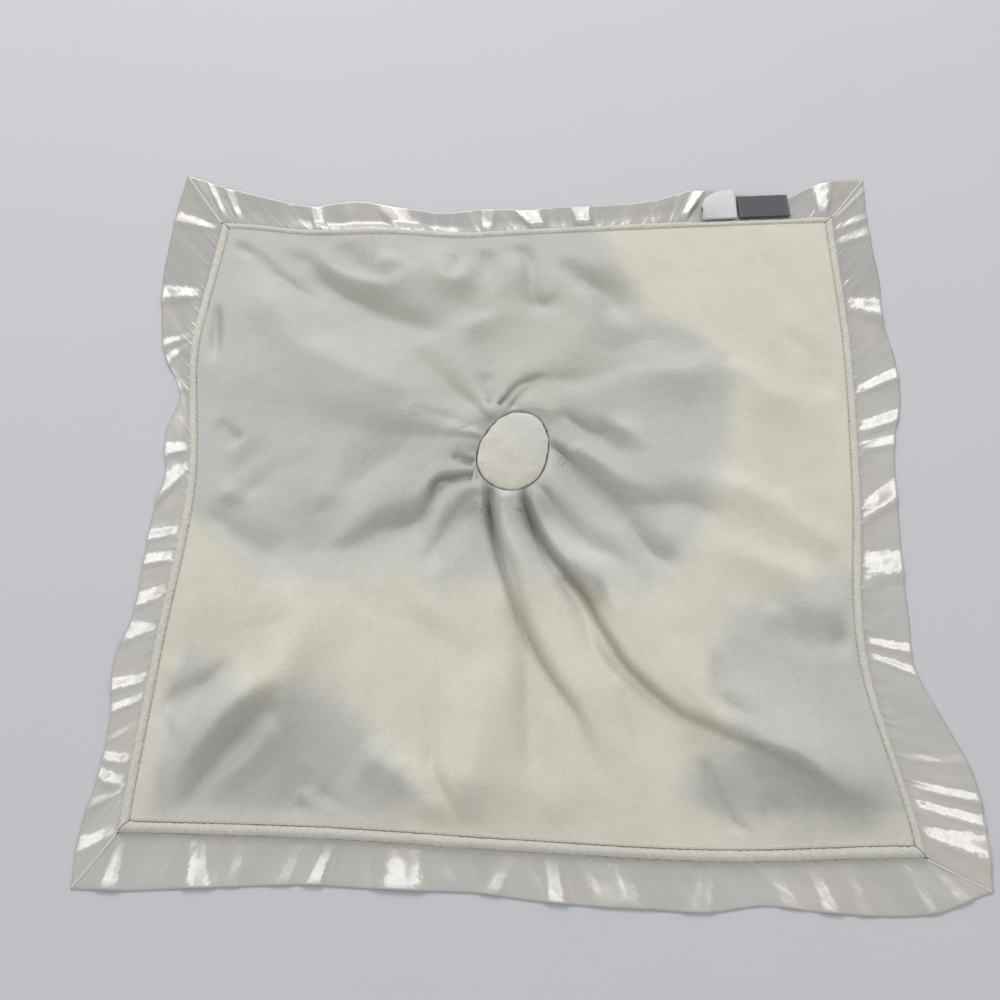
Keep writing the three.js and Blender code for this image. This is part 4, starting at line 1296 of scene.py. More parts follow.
FOLDS: tuple[Fold, ...] = (
    Fold(((-18, -23), (-15, -39), (-10, -52), (-7, -61), (0, -84), (13, -106), (16, -111),
          (20, -121), (31, -147)), (-5, -4, -5.5), (2.2, 4.6), (2.2, 9.2), (0.04, 0.3)),
    Fold(((-7, -21), (5, -46), (22, -71), (29, -89), (47, -106), (62, -117), (89, -127),
          (111, -142), (128, -148)), (-9.7, -4.6, 2.3), (7.4, 1.8), (2.1, 9), (0.03, 0.3)),
    Fold(((14, -52), (25, -65), (34, -65)), (-2.9, -5.8, -9.2), (4.4, 7.4), (5.3, 13.5)),
    Fold(((-14, -18), (-37, -19), (-48, -29), (-64, -31), (-86, -37)),
         (-3.5, -7.6, -5), (4.5, 7), (5.1, 4.6), (0.08, 0.3)),
    Fold(((-19, -25), (-34, -35), (-47, -56)),
         (-3.4, -7, -7.3), (5.7, 6.5), (2.9, 6.7), (0.14, 0.3)),
    Fold(((-57, -48), (-56, -63), (-47, -77), (-19, -94)), (0.3, -1, -2), (3.1, 5.9), (5.6, 8.1)),
    Fold(((-56, -45), (-55, -58), (-37, -77)), (3.3, 1.1, 1.8), (3.2, 4.7), (4.5, 5.4)),
    Fold(((-36, -36), (-53, -37), (-70, -41), (-91, -40), (-102, -43), (-117, -49)),
         (-12.5, -5.2, -5), (11, 6), (11.3, 12.9)),
    Fold(((-86, -46), (-100, -63), (-98, -79), (-108, -101), (-119, -108), (-128, -115),
          (-140, -131), (-167, -135)), (3.1, 12.5, 9.2), (14.4, 16), (16, 14.5)),
    Fold(((-100, -106), (-108, -109), (-120, -121), (-130, -134), (-140, -154)),
         (-9.9, -9, -11.4), (8.4, 13.9), (5.9, 4)),
    Fold(((-106, -110), (-110, -124), (-125, -140), (-141, -148)),
         (4.6, 5.6, 0.1), (7, 6), (3.4, 4.9)),
    Fold(((-122, -88), (-139, -101), (-157, -111)), (-1.6, -7.5, -4.1), (8.7, 9.4), (3.9, 5.3)),
    Fold(((-91, -25), (-90, -15), (-75, -9), (-63, -1), (-42, 0)),
         (5.5, -4.7, -0.1), (9.8, 11.1), (6.4, 10.1)),
    Fold(((-133, -12), (-123, -6), (-110, 1), (-94, -5)), (-7.4, -1.4, -1), (6.9, 9.8), (5.1, 7.9)),
    Fold(((-147, -17), (-131, -31), (-104, -49)), (-2.5, -4.6, -7.9), (2.4, 13.5), (2, 4.2)),
    Fold(((-144, 29), (-140, 22), (-133, 15)), (-1.5, -3.1, -6), (1.8, 4), (3.4, 4.2)),
    Fold(((-154, 96), (-152, 81), (-150, 58)), (-2.7, -8.8, -4.5), (1.8, 2), (3.8, 4.9)),
    Fold(((-136, -18), (-130, 7), (-111, 6)), (7.5, -3.6, 1.7), (5.3, 7.8), (7, 9.1)),
    Fold(((-152, 133), (-139, 125), (-128, 114), (-122, 109), (-98, 90)),
         (-5.9, -3.6, -5.3), (2.6, 3.6), (3, 3.2)),
    Fold(((-127, 125), (-112, 121), (-106, 108), (-99, 94), (-82, 87), (-72, 73), (-62, 63)),
         (-4.2, -1.2, -1), (3, 8.1), (7.1, 9.8)),
    Fold(((-105, 121), (-104, 112), (-93, 99), (-82, 93), (-73, 86), (-63, 80), (-29, 61)),
         (-7, -5.3, -7.8), (2.9, 9.5), (6.5, 9.6)),
    Fold(((-105, 136), (-101, 117), (-87, 106), (-69, 99), (-55, 110), (-58, 129)),
         (3.5, 4.8, 0.6), (5.4, 4.7), (6.9, 8.6)),
    Fold(((-95, 134), (-82, 112), (-72, 112), (-62, 121)),
         (-1.4, -2.7, 12.5), (5.2, 7.6), (4.7, 8.4)),
    Fold(((-48, 133), (-40, 102), (-28, 110), (-27, 130)),
         (1.4, 9.7, 2), (9.8, 10.2), (10.3, 10.7)),
    Fold(((-133, 120), (-129, 96), (-118, 79), (-108, 63), (-92, 53), (-77, 42), (-61, 32),
          (-44, 25), (-30, 11)), (7.5, 9.8, 10.2), (14, 15.8), (16, 15.8)),
    Fold(((-62, 24), (-43, 18), (-31, 12), (-22, -2)), (1.4, 4.3, 4.6), (5.8, 7.5), (5.9, 11.2)),
    Fold(((-10, 9), (1, 29), (10, 34), (20, 38), (28, 43)),
         (-5.6, -1.8, -2.1), (2.2, 4.2), (1.9, 5.9), (0.11, 0.3)),
    Fold(((-7, 6), (-9, 31), (-2, 39), (12, 49), (21, 61), (29, 76), (30, 99), (19, 111), (6, 118)),
         (3.6, 3.6, 9.7), (9.6, 11.1), (11.3, 12.5), (0.04, 0.3)),
    Fold(((-17, 12), (-18, 27), (-20, 41)), (-4.1, -2.3, -3.8), (3.7, 4.6), (1.8, 3.5), (0.2, 0.3)),
    Fold(((14, 127), (26, 110), (38, 98), (41, 87), (37, 74)),
         (-0.1, -12.5, -7.4), (2.7, 15.5), (5.8, 8)),
    Fold(((-8, 133), (1, 122), (2, 101), (7, 90), (18, 96)),
         (-5.7, -4, -11.1), (2.5, 6.4), (2.4, 6.7)),
    Fold(((-20, 130), (-22, 110), (-32, 98)), (-2.8, -5, 1.3), (3.7, 5.6), (5.5, 6.4)),
    Fold(((-14, 126), (-6, 111), (-16, 92), (-18, 76), (-43, 62)),
         (5.1, 3.6, 9.7), (9.3, 9.9), (8.8, 7.2)),
    Fold(((2, 19), (15, 21), (30, 31), (43, 42), (54, 44), (74, 47), (90, 59)),
         (2.5, 3.6, 11), (5.8, 8.7), (9.1, 15.8)),
    Fold(((9, 13), (25, 8), (41, 11)), (-1.2, -9.8, -11.8), (4.3, 5.5), (7.3, 8.8), (0.16, 0.3)),
    Fold(((16, -2), (27, -8), (50, -14), (63, 9), (67, -6), (82, -10), (96, -12), (109, -18),
          (121, -14)), (5.6, -0.3, 11.6), (5.3, 8.7), (7.1, 12.2), (0.04, 0.3)),
    Fold(((3, -4), (24, -14), (37, -22), (56, -22), (71, -20), (91, -31)),
         (-7.6, -4, -5.5), (2.6, 6.2), (10.2, 10.7), (0.06, 0.3)),
    Fold(((26, -26), (38, -26), (44, -34)), (0.9, -2.6, -4.8), (5, 6.7), (6, 6.5)),
    Fold(((41, -28), (53, -44), (68, -46)), (-5.3, -8.1, -5.2), (6.8, 6.3), (4.3, 7.5)),
    Fold(((1, -22), (16, -36), (28, -45), (54, -53)),
         (-4.3, -5.7, -1.2), (1.8, 8), (5.5, 7.5), (0.1, 0.3)),
    Fold(((-3, -24), (4, -40), (15, -53), (33, -56), (48, -53), (66, -71)),
         (8.1, 0.8, -4.1), (4.2, 6.2), (1.8, 7.8), (0.06, 0.3)),
    Fold(((-8, -26), (-4, -40), (3, -54), (9, -69), (18, -79), (24, -93), (34, -104), (40, -122)),
         (-4.6, -3.4, -1.7), (5.6, 8.7), (8.3, 13.1), (0.06, 0.3)),
    Fold(((-17, -24), (-19, -41), (-16, -55), (-14, -71), (-16, -89)),
         (-4.7, -2, -0.1), (5.4, 8.2), (11.3, 10.7), (0.09, 0.3)),
    Fold(((48, -83), (59, -92), (74, -110), (88, -112), (100, -116)),
         (-0.1, 4.5, 9.8), (8.4, 11.1), (9.5, 10.2)),
    Fold(((104, -66), (124, -66), (140, -85)), (0.1, 5.8, -11.2), (9.7, 12.3), (8.7, 10.4)),
    Fold(((100, -64), (112, -77), (132, -91)), (4.8, -1.6, 4.7), (4.8, 6.7), (5.9, 7)),
    Fold(((79, -83), (77, -97), (79, -108), (100, -117)),
         (-0.3, -4.7, -3.2), (2.4, 5.6), (3.8, 4.1)),
    Fold(((59, 80), (85, 67), (89, 53), (100, 50), (118, 38), (141, 39)),
         (4.2, 3.3, 5.5), (7.7, 9.8), (8.2, 11.8)),
    Fold(((121, 82), (138, 65), (143, 39)), (-1.6, -2.8, -4.6), (4.3, 7.7), (6.4, 9.3)),
    Fold(((109, -6), (120, -24), (143, -40)), (1.2, 3.6, 1.4), (7.1, 7.5), (8, 8.5)),
    Fold(((85, -30), (92, -42), (121, -51), (134, -47)), (2, 4.5, 5), (7.2, 8), (9.8, 10.1)),
    Fold(((-9, -96), (0, -107), (-1, -124), (2, -138), (13, -158)),
         (-0.7, -5.1, 6.9), (11.1, 8.7), (5.4, 3.2)),
    Fold(((-39, -102), (-40, -122), (-40, -136), (-29, -157)),
         (-1.1, -3.2, -4.5), (2.9, 2.7), (4.3, 2.6)),
    Fold(((-28, -89), (-20, -103), (-21, -118), (-25, -132), (-31, -159)),
         (1.7, 6.3, 9.7), (12.1, 14.9), (10.8, 12.5)),
    Fold(((-71, -126), (-59, -134), (-46, -144), (-30, -158)),
         (9.8, 4.8, 7.9), (6.2, 6.5), (11, 7.5)),
    Fold(((-52, -129), (-51, -136), (-34, -142)), (3.8, 1.5, -0.1), (5, 5.7), (5.2, 5.2)),
    Fold(((35, -97), (44, -120), (38, -129)), (0.2, -4.7, -2.7), (4.9, 10.1), (4.1, 6.2)),
    Fold(((68, -128), (77, -151), (88, -159)), (-3.8, -3, -5.2), (2.7, 2.2), (1.8, 4.3)),
    Fold(((90, -133), (95, -149), (90, -152)), (-0.7, -1.3, -6.5), (4.4, 6.7), (5.1, 5.5)),
    Fold(((66, -119), (62, -135), (73, -146)), (-1.9, -0.3, 1.6), (6.4, 8.1), (7, 8.7)),
    Fold(((-82, -135), (-82, -141), (-85, -147)), (-0.4, -1.3, -5.9), (4.4, 7.2), (4.6, 5.7)),
    Fold(((-88, -133), (-95, -147), (-91, -144)), (-0.7, -2.9, -4.1), (3.9, 5.4), (5.6, 8.4)),
    Fold(((78, -122), (105, -127), (125, -141), (150, -148)),
         (12.5, 12.5, 3.1), (15.5, 12.6), (8.1, 9)),
    Fold(((4, 19), (22, 34), (45, 48), (47, 62), (70, 72), (89, 68), (110, 77), (131, 73),
          (150, 64)), (-2.7, -2.9, 3), (5.5, 10.7), (8.1, 11.2)),
    Fold(((-21, -19), (-40, -18), (-51, -28), (-62, -30), (-75, -33), (-96, -43)),
         (5.6, 3.8, 4.3), (2, 5.1), (4.1, 6.6), (0.07, 0.3)),
    Fold(((-20, -8), (-32, -8), (-36, -4)), (-3.1, -1.7, -1.1), (2.1, 4.1), (2.4, 3.8), (0.2, 0.3)),
    Fold(((-17, -2), (-29, 4), (-29, 6)), (1, 1.1, -2.1), (2.4, 3.4), (2.2, 3.7), (0.2, 0.3)),
    Fold(((-15, 4), (-21, 14), (-18, 27)), (-0.4, 3.7, -0.5), (4, 4.5), (2.4, 4.2), (0.2, 0.3)),
    Fold(((-13, -23), (-11, -40), (-3, -52), (2, -65), (9, -79), (19, -89), (23, -99)),
         (2.4, 1.3, -3), (3.7, 6.2), (6, 8), (0.07, 0.3)),
    Fold(((-14, -64), (-4, -84), (-2, -99), (-3, -116), (-5, -131)),
         (-0.7, -6, -0.3), (7.1, 8.6), (5.6, 4.9)),
    Fold(((2, 3), (20, 7), (41, 10), (50, 0)), (-4, 4.6, 5.4), (5.6, 4.9), (5.8, 7), (0.11, 0.3)),
    Fold(((-5, -21), (-3, -28), (0, -35), (7, -46), (15, -55), (23, -64), (30, -78), (38, -91),
          (49, -102), (61, -112), (74, -118), (87, -125), (102, -132), (117, -141), (131, -151)),
         (-5.5, -2.2, -0.6), (1.6, 2), (1.6, 2), (0.02, 0.3)),
    Fold(((-18, -18), (-17, -34), (-14, -48), (-8, -66), (-2, -81), (8, -98), (18, -111),
          (27, -127), (30, -136)), (-5.5, -2, -0.5), (1.9, 1.8), (1.9, 1.8), (0.02, 0.3)),
    Fold(((-24, -19), (-32, -18), (-39, -17), (-43, -21), (-45, -25)),
         (-4, -3.5, -2), (1.6, 1.8), (1.6, 1.8), (0.05, 0.3)),
    Fold(((-14, 13), (-11, 18), (-6, 27), (2, 34), (12, 38)),
         (-3, -2, -1), (1.6, 1.8), (1.6, 1.8), (0.05, 0.3)),
    Fold(((-24, -13), (-30, -10), (-35, -7)), (-3.5, -2, -1), (1.6, 1.8), (1.6, 1.8), (0.05, 0.3)),
)


# The grey blotches of the print, seen from above before the shift to the origin. The main one
# lies over the far left and the middle, the others in the two near corners.
GREY_BLOTCHES: tuple[tuple[tuple[float, float], ...], ...] = (
    ((-188, 157), (33, 159), (47, 121), (59, 85), (83, 73), (97, 50), (90, 13), (82, -15),
     (69, -43), (50, -61), (29, -62), (-1, -56), (-13, -56), (-38, -63), (-55, -53), (-86, -54),
     (-118, -52), (-140, -29), (-166, -19)),
    ((78, -106), (76, -86), (87, -69), (111, -58), (147, -45), (170, -78), (175, -176), (61, -176),
     (59, -146), (68, -131), (84, -123)),
    ((-167, -77), (-140, -85), (-118, -105), (-99, -102), (-79, -107), (-64, -121), (-52, -138),
     (-34, -151), (-40, -173), (-168, -173)),
)


# Painted shade patches: the middle, the two half widths and how dark it is, below 0 painted light.
PAINTED_SHADE_PATCHES: tuple[tuple[float, float, float, float, float], ...] = (
    (-98, -128, 30, 20, 0.24), (108, -146, 40, 13, 0.25), (72, -134, 12, 16, 0.15),
    (-15, -150, 60, 13, 0.13), (-130, -150, 30, 10, 0.09), (30, -120, 50, 22, 0.09),
    (-130, -75, 22, 14, 0.11), (-120, -8, 26, 14, 0.03), (18, -44, 24, 12, -0.28),
    (-12, -38, 7, 18, -0.3), (-80, 60, 26, 16, -0.07), (58, 12, 26, 14, -0.08),
)


def signed_distance(place: Array, outline: Array) -> Array:
    """How deep points lie in a closed outline, below 0 outside it.

    The distance is that to the nearest side. A point is inside when a line from it along X
    crosses the outline an odd number of times.

    Args:
        place: points seen from above.
        outline: the outline's corners.

    Returns:
        The signed distance of each point.
    """
    ring = np.concatenate([outline, outline[:1]])
    distance, _, _ = nearest_on_path(place, ring)
    a, b = ring[:-1], ring[1:]
    x, y = place[:, 0:1], place[:, 1:2]
    spans = (a[:, 1] > y) != (b[:, 1] > y)
    rise = np.where(b[:, 1] == a[:, 1], 1.0, b[:, 1] - a[:, 1])
    crossing = a[:, 0] + (y - a[:, 1]) * (b[:, 0] - a[:, 0]) / rise
    inside = (spans & (x < crossing)).sum(axis=1) % 2 == 1
    return np.where(inside, distance, -distance)


@dataclass
class DrapedCloth:
    """The double velour cloth: a tent from the neck ring down to the corded seam.

    Lengths are in millimetres. folded, napped and shaded are shares of the way from the neck to
    the seam: where the folds come in and die away, where the pile's lean does, and by where the
    wide folds have their full lean. Folds narrower than line_width are lines: their lean is not
    made gentler, and their depth is painted into the pile's colour as shadow.
    inner_step says how many of the outer face's columns one of the inner face takes.
    """

    plan: SeamPlan
    ring: NeckRing
    head: HeadForm
    side_stations: int = 160
    radial_spans: int = 112
    inner_step: int = 4
    velour: float = 1.4
    neck_rounding: float = 0.5
    seam_rounding: float = 0.35
    seam_offset: float = 1.8
    tent_curve: float = 1.5
    corner_rounding: float = 2.4
    puff_rise: float = 2.0
    puff_width: float = 6.0
    folded: tuple[float, float] = (0.14, 0.88)
    napped: tuple[float, float] = (0.008, 0.94)
    shaded: float = 0.2
    least_lean: float = 0.6
    line_width: float = 2.1
    fold_share: float = 0.85
    fold_limit: float = 8.5
    steepest: float = 0.7
    upright: float = 0.85
    shadow: float = 0.25
    drape_margin: float = 1.9
    drape_round: float = 1.2
    print_unit: float = 20.0
    print_limit: float = 16.0

    def radial_shares(self) -> Array:
        """Shares from the neck to the seam, closer together at both ends.

        They are read off the running sum of a density that is 1 and falls away from the ends
        as an exponential.

        Returns:
            The shares.
        """
        t = np.linspace(0.0, 1.0, 2001)
        density = 1.0 + 5.0 * np.exp(-t / 0.08) + 2.5 * np.exp(-(1.0 - t) / 0.03)
        run = np.concatenate([[0.0], np.cumsum((density[1:] + density[:-1]) / 2.0)])
        return np.interp(np.linspace(0.0, 1.0, self.radial_spans + 1), run / run[-1], t)

    def drape_floor(self, flat: Array) -> Array:
        """The lowest that the cloth's middle can lie over the head: the grown form's upper side."""
        top = self.head.top(flat, self.drape_margin)
        return np.where(top > self.head.centre[2], top, 0.0)

    def slope_of(self, flat: Array, height: Array) -> Array:
        """The slope of a height over the cloth's grid, along X and Y.

        Args:
            flat: the grid's points seen from above, its rows closed to a ring.
            height: the height at each point.

        Returns:
            The two slopes of each point, from the steps along and across the rows.
        """
        around = (np.roll(height, -1, axis=0) - np.roll(height, 1, axis=0)) / 2.0
        step = (np.roll(flat, -1, axis=0) - np.roll(flat, 1, axis=0)) / 2.0
        out, span = np.gradient(height, axis=1), np.gradient(flat, axis=1)
        area = step[..., 0] * span[..., 1] - step[..., 1] * span[..., 0]
        along_x = around * span[..., 1] - out * step[..., 1]
        along_y = out * step[..., 0] - around * span[..., 0]
        return np.stack([along_x, along_y], axis=-1) / area[..., None]

    def seam_line(self) -> tuple[Array, Array, Array]:
        """The stations round the seam.

        Returns:
            Their points, the seam's height there and their share along their side.
        """
        stations = np.arange(4 * self.side_stations)
        along = (stations % self.side_stations) / self.side_stations
        edge, level = np.zeros((len(stations), 2)), np.zeros(len(stations))
        for side in Side:
            pick = stations // self.side_stations == side.value
            edge[pick] = self.plan.seam(side, along[pick], -self.seam_offset)
            level[pick] = self.plan.height(side, along[pick])
        return edge, level, along

    def rounded_share(self, share: Array, along: Array) -> Array:
        """The share that the tent's fall is read at, grown towards the corners.

        With a width of corner_rounding times share times (1 - share), it grows by the square
        of what the width is more than the share's distance from the next side's, over four
        widths. So the tent has no edge along the diagonal.

        Args:
            share: shares from the neck to the seam.
            along: each station's share along its side.

        Returns:
            The share of each point, stations by shares.
        """
        turned = np.abs(2.0 * along - 1.0)[:, None]
        width = self.corner_rounding * share * (1.0 - share)
        beyond = np.clip(width - share * (1.0 - turned), 0.0, None) ** 2 / (4.0 * width + 1e-9)
        return np.minimum(share + beyond, 1.0)

    def middle(self) -> tuple[Array, Array, Array]:
        """Works out the middle surface.

        Each station joins a point of the neck's outline to a point of the seam. The height is
        that of the seam, and the neck's height above it times (1 - share) to the tent curve,
        and the puff beside the ring, and the folds, and it is never lower than the head allows.
        The folds stand up by the limit times the hyperbolic tangent of their rise over the
        limit, and the pile leans by the rest of it. Narrow folds are lines whose painted shadow
        darkens the pile's colour by 1 less exp of minus their depth. On the slope of the tent the
        pile stands more upright than the cloth.

        Returns:
            The surface as stations by shares by coordinates, the same points seen from above
            before the shift, and how far the pile leans there along X and Y and how dark the painted
            shade makes it look.
        """
        edge, level, along = self.seam_line()
        centre = self.ring.middle
        angle = np.arctan2(edge[:, 1] - centre[1], edge[:, 0] - centre[0])
        radius = (self.ring.radius + self.plan.clearance) * self.ring.outline(angle)
        neck = centre + radius[:, None] * circle(angle)
        share = self.radial_shares()
        flat = neck[:, None] * (1.0 - share[None, :, None]) + edge[:, None] * share[None, :, None]
        plan_place = flat - self.plan.shift
        neck_height = self.ring.height + math.tan(self.ring.tilt) * (neck[:, 1] - centre[1])
        beside = np.linalg.norm(flat - neck[:, None], axis=-1) / self.puff_width
        puff = self.puff_rise * beside * np.exp(1.0 - beside)
        fall = (1.0 - self.rounded_share(share, along)) ** self.tent_curve
        down = (neck_height - level)[:, None] * fall
        fade = plateau(0.0, self.folded[0], self.folded[1], 1.0, share)
        brushed = plateau(0.0, self.napped[0], self.napped[1], 1.0, share)
        points = plan_place.reshape(-1, 2)
        parts = [fold.at(points).reshape(flat.shape[:2]) for fold in FOLDS]
        folds = sum(parts)
        lines = sum(part for part, fold in zip(parts, FOLDS) if fold.half_width < self.line_width)
        standing = fade * self.fold_limit * np.tanh(self.fold_share * folds / self.fold_limit)
        gentler = self.least_lean + (1.0 - self.least_lean) * smoothstep(0.0, self.shaded, share)
        slope = self.slope_of(flat, folds - lines) * (brushed * gentler)[..., None]
        slope += self.slope_of(flat, lines) * brushed[..., None] - self.slope_of(flat, standing)
        spread = self.slope_of(flat, down)
        spread *= self.upright * brushed[..., None] / np.sqrt(
            1.0 + (spread**2).sum(axis=-1, keepdims=True))
        lean = spread - np.clip(slope, -self.steepest, self.steepest)
        # Painted shadow: the narrow fold lines darken the pile's colour.
        dark = 1.0 - np.exp(-self.shadow * np.maximum(-lines, 0.0))
        # The nap's Z carries that painted shadow and the painted shade and painted light of the
        # patches.
        nap = raised(lean, brushed * dark + self.painted_shade_depth(plan_place))
        ripple = 0.3 * lattice_noise(plan_place, 19.0, 11)
        ripple += 0.15 * lattice_noise(plan_place, 8.0, 12)
        tent = level[:, None] + down + puff + standing + fade * ripple
        over = soft_max(tent, self.drape_floor(flat), self.drape_round * fade)
        height = np.maximum(over, self.ring.cloth_half + self.plan.clearance)
        height[:, -1] = level
        return raised(flat, height), plan_place, nap

    def painted_shade_depth(self, plan_place: Array) -> Array:
        """How dark the pile looks in soft oval patches: depth * exp(-(away squared) ** 1.5).

        Args:
            plan_place: points seen from above, before the shift to the origin.

        Returns:
            The sum of the patches at each point, below 0 where they look lighter.
        """
        # Painted shade: each patch darkens the pile's colour, and one below 0 lightens it as painted
        # light.
        total = np.zeros(plan_place.shape[:-1])
        for x, y, half_long, half_wide, depth in PAINTED_SHADE_PATCHES:
            gap = plan_place - np.array([x, y])
            away = (gap[..., 0] / half_long) ** 2 + (gap[..., 1] / half_wide) ** 2
            total += depth * np.exp(-(away**1.5))
        return total

    def blotches(self, plan_place: Array) -> Array:
        """How deep each point lies in the print's grey blotches, in shares of the print's unit.

        On the near half a strip along the seam stays cream: all of it up to 3 mm from the
        seam's line, and less and less of it up to 13 mm.

        Args:
            plan_place: points seen from above, before the shift to the origin.

        Returns:
            The depth of each point, from -1 to 1.
        """
        points = plan_place.reshape(-1, 2)
        shapes = (np.array(shape, float) for shape in GREY_BLOTCHES)
        depth = np.max([signed_distance(points, shape) for shape in shapes], axis=0)
        inside = self.plan.panel_side / 2.0 - np.abs(points).max(axis=1)
        near = 1.0 - smoothstep(-60.0, -10.0, points[:, 1])
        cream = (self.print_limit + 1.0) * near * (1.0 - smoothstep(3.0, 13.0, inside))
        depth = np.minimum(depth, self.print_limit) - cream
        return np.clip(depth / self.print_unit, -1.0, 1.0).reshape(plan_place.shape[:-1])

    def build(self, finishes: Finishes) -> None:
        """Makes the two panels, each a slab whose open edges are rounded over.

        The outer face stands off the middle by half the seam's gap and the velour's thickness
        times the root of 1 less (1 less the distance from the edge over the rounding) squared.

        Args:
            finishes: the materials.
        """
        middle, plan_place, nap = self.middle()
        start, end = middle[:, :1], middle[:, -1:]
        from_neck = np.linalg.norm(middle[..., :2] - start[..., :2], axis=-1)
        from_seam = np.linalg.norm(middle[..., :2] - end[..., :2], axis=-1)
        thick = self.velour * round_edge(from_neck, self.neck_rounding)
        thick *= round_edge(from_seam, self.seam_rounding)
        gap = self.plan.clearance / 2.0
        thin = slice(None, None, self.inner_step)
        blotch = self.blotches(plan_place)[..., None]
        fields = {"blotch": (blotch, blotch[:, thin]), "nap": (nap, 0.0 * nap[:, thin])}
        outwards = (gap + thick)[..., None] * UP
        back = Skin.slab(middle + outwards, (middle + gap * UP)[:, thin], True, fields)
        front = Skin.slab((middle - gap * UP)[:, thin], middle - outwards, True)
        top = Piece("back_panel_cloth", Slot.GREY_VELOUR, ("back_panel",))
        under = Piece("front_panel_cloth", Slot.CREAM_VELOUR, ("front_panel",))
        upper = top.place(back, finishes.printed_velour)
        lower = under.place(front, finishes.plain_velour)


# ---------------------------------------------------------------- seam, ruffle and stitches


# Where along a stitch its rings lie, -1 to 1, and their share of the thread's radius.
STITCH_RINGS = (-1.0, -0.85, -0.4, 0.0, 0.4, 0.85, 1.0)
STITCH_SIZES = (0.35, 0.75, 1.0, 1.0, 1.0, 0.75, 0.35)
STITCH_FACETS = 6


def stitch_skin(places: Array, along: Array, length: float, radius: float, bow: float) -> Skin:
    """Short round stitches, each a spindle that bows upwards as a parabola.

    Args:
        places: the middle of each stitch.
        along: the direction of each.
        length: a stitch's length.
        radius: the thread's radius.
        bow: how far its middle stands above its ends.

    Returns:
        The stitches as one skin.
    """
    t, turn = np.array(STITCH_RINGS), turns(STITCH_FACETS)[:, None]
    across = unit(np.cross(along, np.broadcast_to(UP, along.shape)))
    over = np.cross(across, along)
    run, lift = (t * length / 2.0)[:, None], (bow * (1 - t**2))[:, None]
    middle = places[:, None] + along[:, None] * run + over[:, None] * lift
    size = radius * np.array(STITCH_SIZES)
    ring = across[:, None, None] * np.cos(turn) + over[:, None, None] * np.sin(turn)
    return Skin.loft(middle[:, :, None] + size[None, :, None, None] * ring)


@dataclass
class CordedSeam:
    """The four corded welts and the row of stitches beside them.

    The places in pressed are along X: where the labels begin to press the far welt, where they
    press it fully, where that ends and where the welt is round again.
    """

    plan: SeamPlan
    stations: int = 560
    facets: int = 24
    slimmer: float = 0.93
    stitch_spacing: float = 3.0
    stitch_length: float = 2.7
    stitch_rise: float = 1.45
    stitch_bow: float = 0.12
    thread_radius: float = 0.2
    pinch: float = 0.03
    press: float = 0.22
    pressed: tuple[float, float, float, float] = (82.0, 88.0, 138.0, 144.0)

    def welt(self, side: Side) -> Skin:
        """One welt: rings round the seam with a lumpy radius, pinched at each stitch.

        The radius is the welt's own times a number just under one, a noise along and round it,
        and a small cosine that follows the stitches on its inner side. Beside the labels the
        far one is pressed in on its outer and upper side.

        Args:
            side: which side.

        Returns:
            The welt's skin.
        """
        share = self.plan.mitred_share(np.linspace(0.0, 1.0, self.stations + 1))
        turn = turns(self.facets)
        cos, sin = np.cos(turn), np.sin(turn)
        run = share * self.plan.panel_side
        place = np.stack(np.meshgrid(run, cos * 3.0, indexing="ij"), axis=-1)
        place[..., 1] += sin * 1.7
        lumps = 0.04 * lattice_noise(place, 2.6, 21 + side.value)
        lumps += 0.075 * lattice_noise(place, 1.0, 31 + side.value)
        lumps += 0.035 * line_noise(run, 14.0, 41 + side.value)[:, None]
        stitched = self.pinch * np.cos(TAU * run / self.stitch_spacing)[:, None]
        radius = self.slimmer + lumps - stitched * np.clip(-cos, 0.0, 1.0)
        if side is Side.FAR:
            x = self.plan.seam(side, share, np.zeros_like(share))[:, :1]
            radius -= self.press * plateau(*self.pressed, x) * np.clip(cos + 0.6 * sin, 0.0, 1.0)
        radius *= self.plan.welt_radius
        grid_share = np.broadcast_to(share[:, None], radius.shape)
        flat = self.plan.seam(side, grid_share, radius * cos)
        height = np.maximum(self.plan.height(side, grid_share) + radius * sin, 0.05)
        return Skin.loft(raised(flat, height))

    def stitches(self, side: Side) -> Skin:
        """The row of stitches in the groove between a welt and the panel.

        Args:
            side: which side.

        Returns:
            The stitches.
        """
        share = np.linspace(0.004, 0.996, 400)
        flat = self.plan.seam(side, share, -(self.plan.welt_radius - 0.05))
        path = raised(flat, self.plan.height(side, share) + self.stitch_rise)
        places, along = spaced(path, self.stitch_spacing)
        return stitch_skin(places, along, self.stitch_length, self.thread_radius, self.stitch_bow)

    def build(self, finishes: Finishes) -> None:
        """Makes the welts and their stitches.

        Args:
            finishes: the materials.
        """
        for side in Side:
            name = side.name.lower()
            welt = Piece(f"welt_{name}_cord", Slot.CREAM_VELOUR, (f"edge_welt_{name}",))
            welt.place(self.welt(side), finishes.welt_velour)
            row = Piece(f"seam_stitches_{name}", Slot.CREAM_VELOUR)
            row.place(self.stitches(side), finishes.seam_thread)


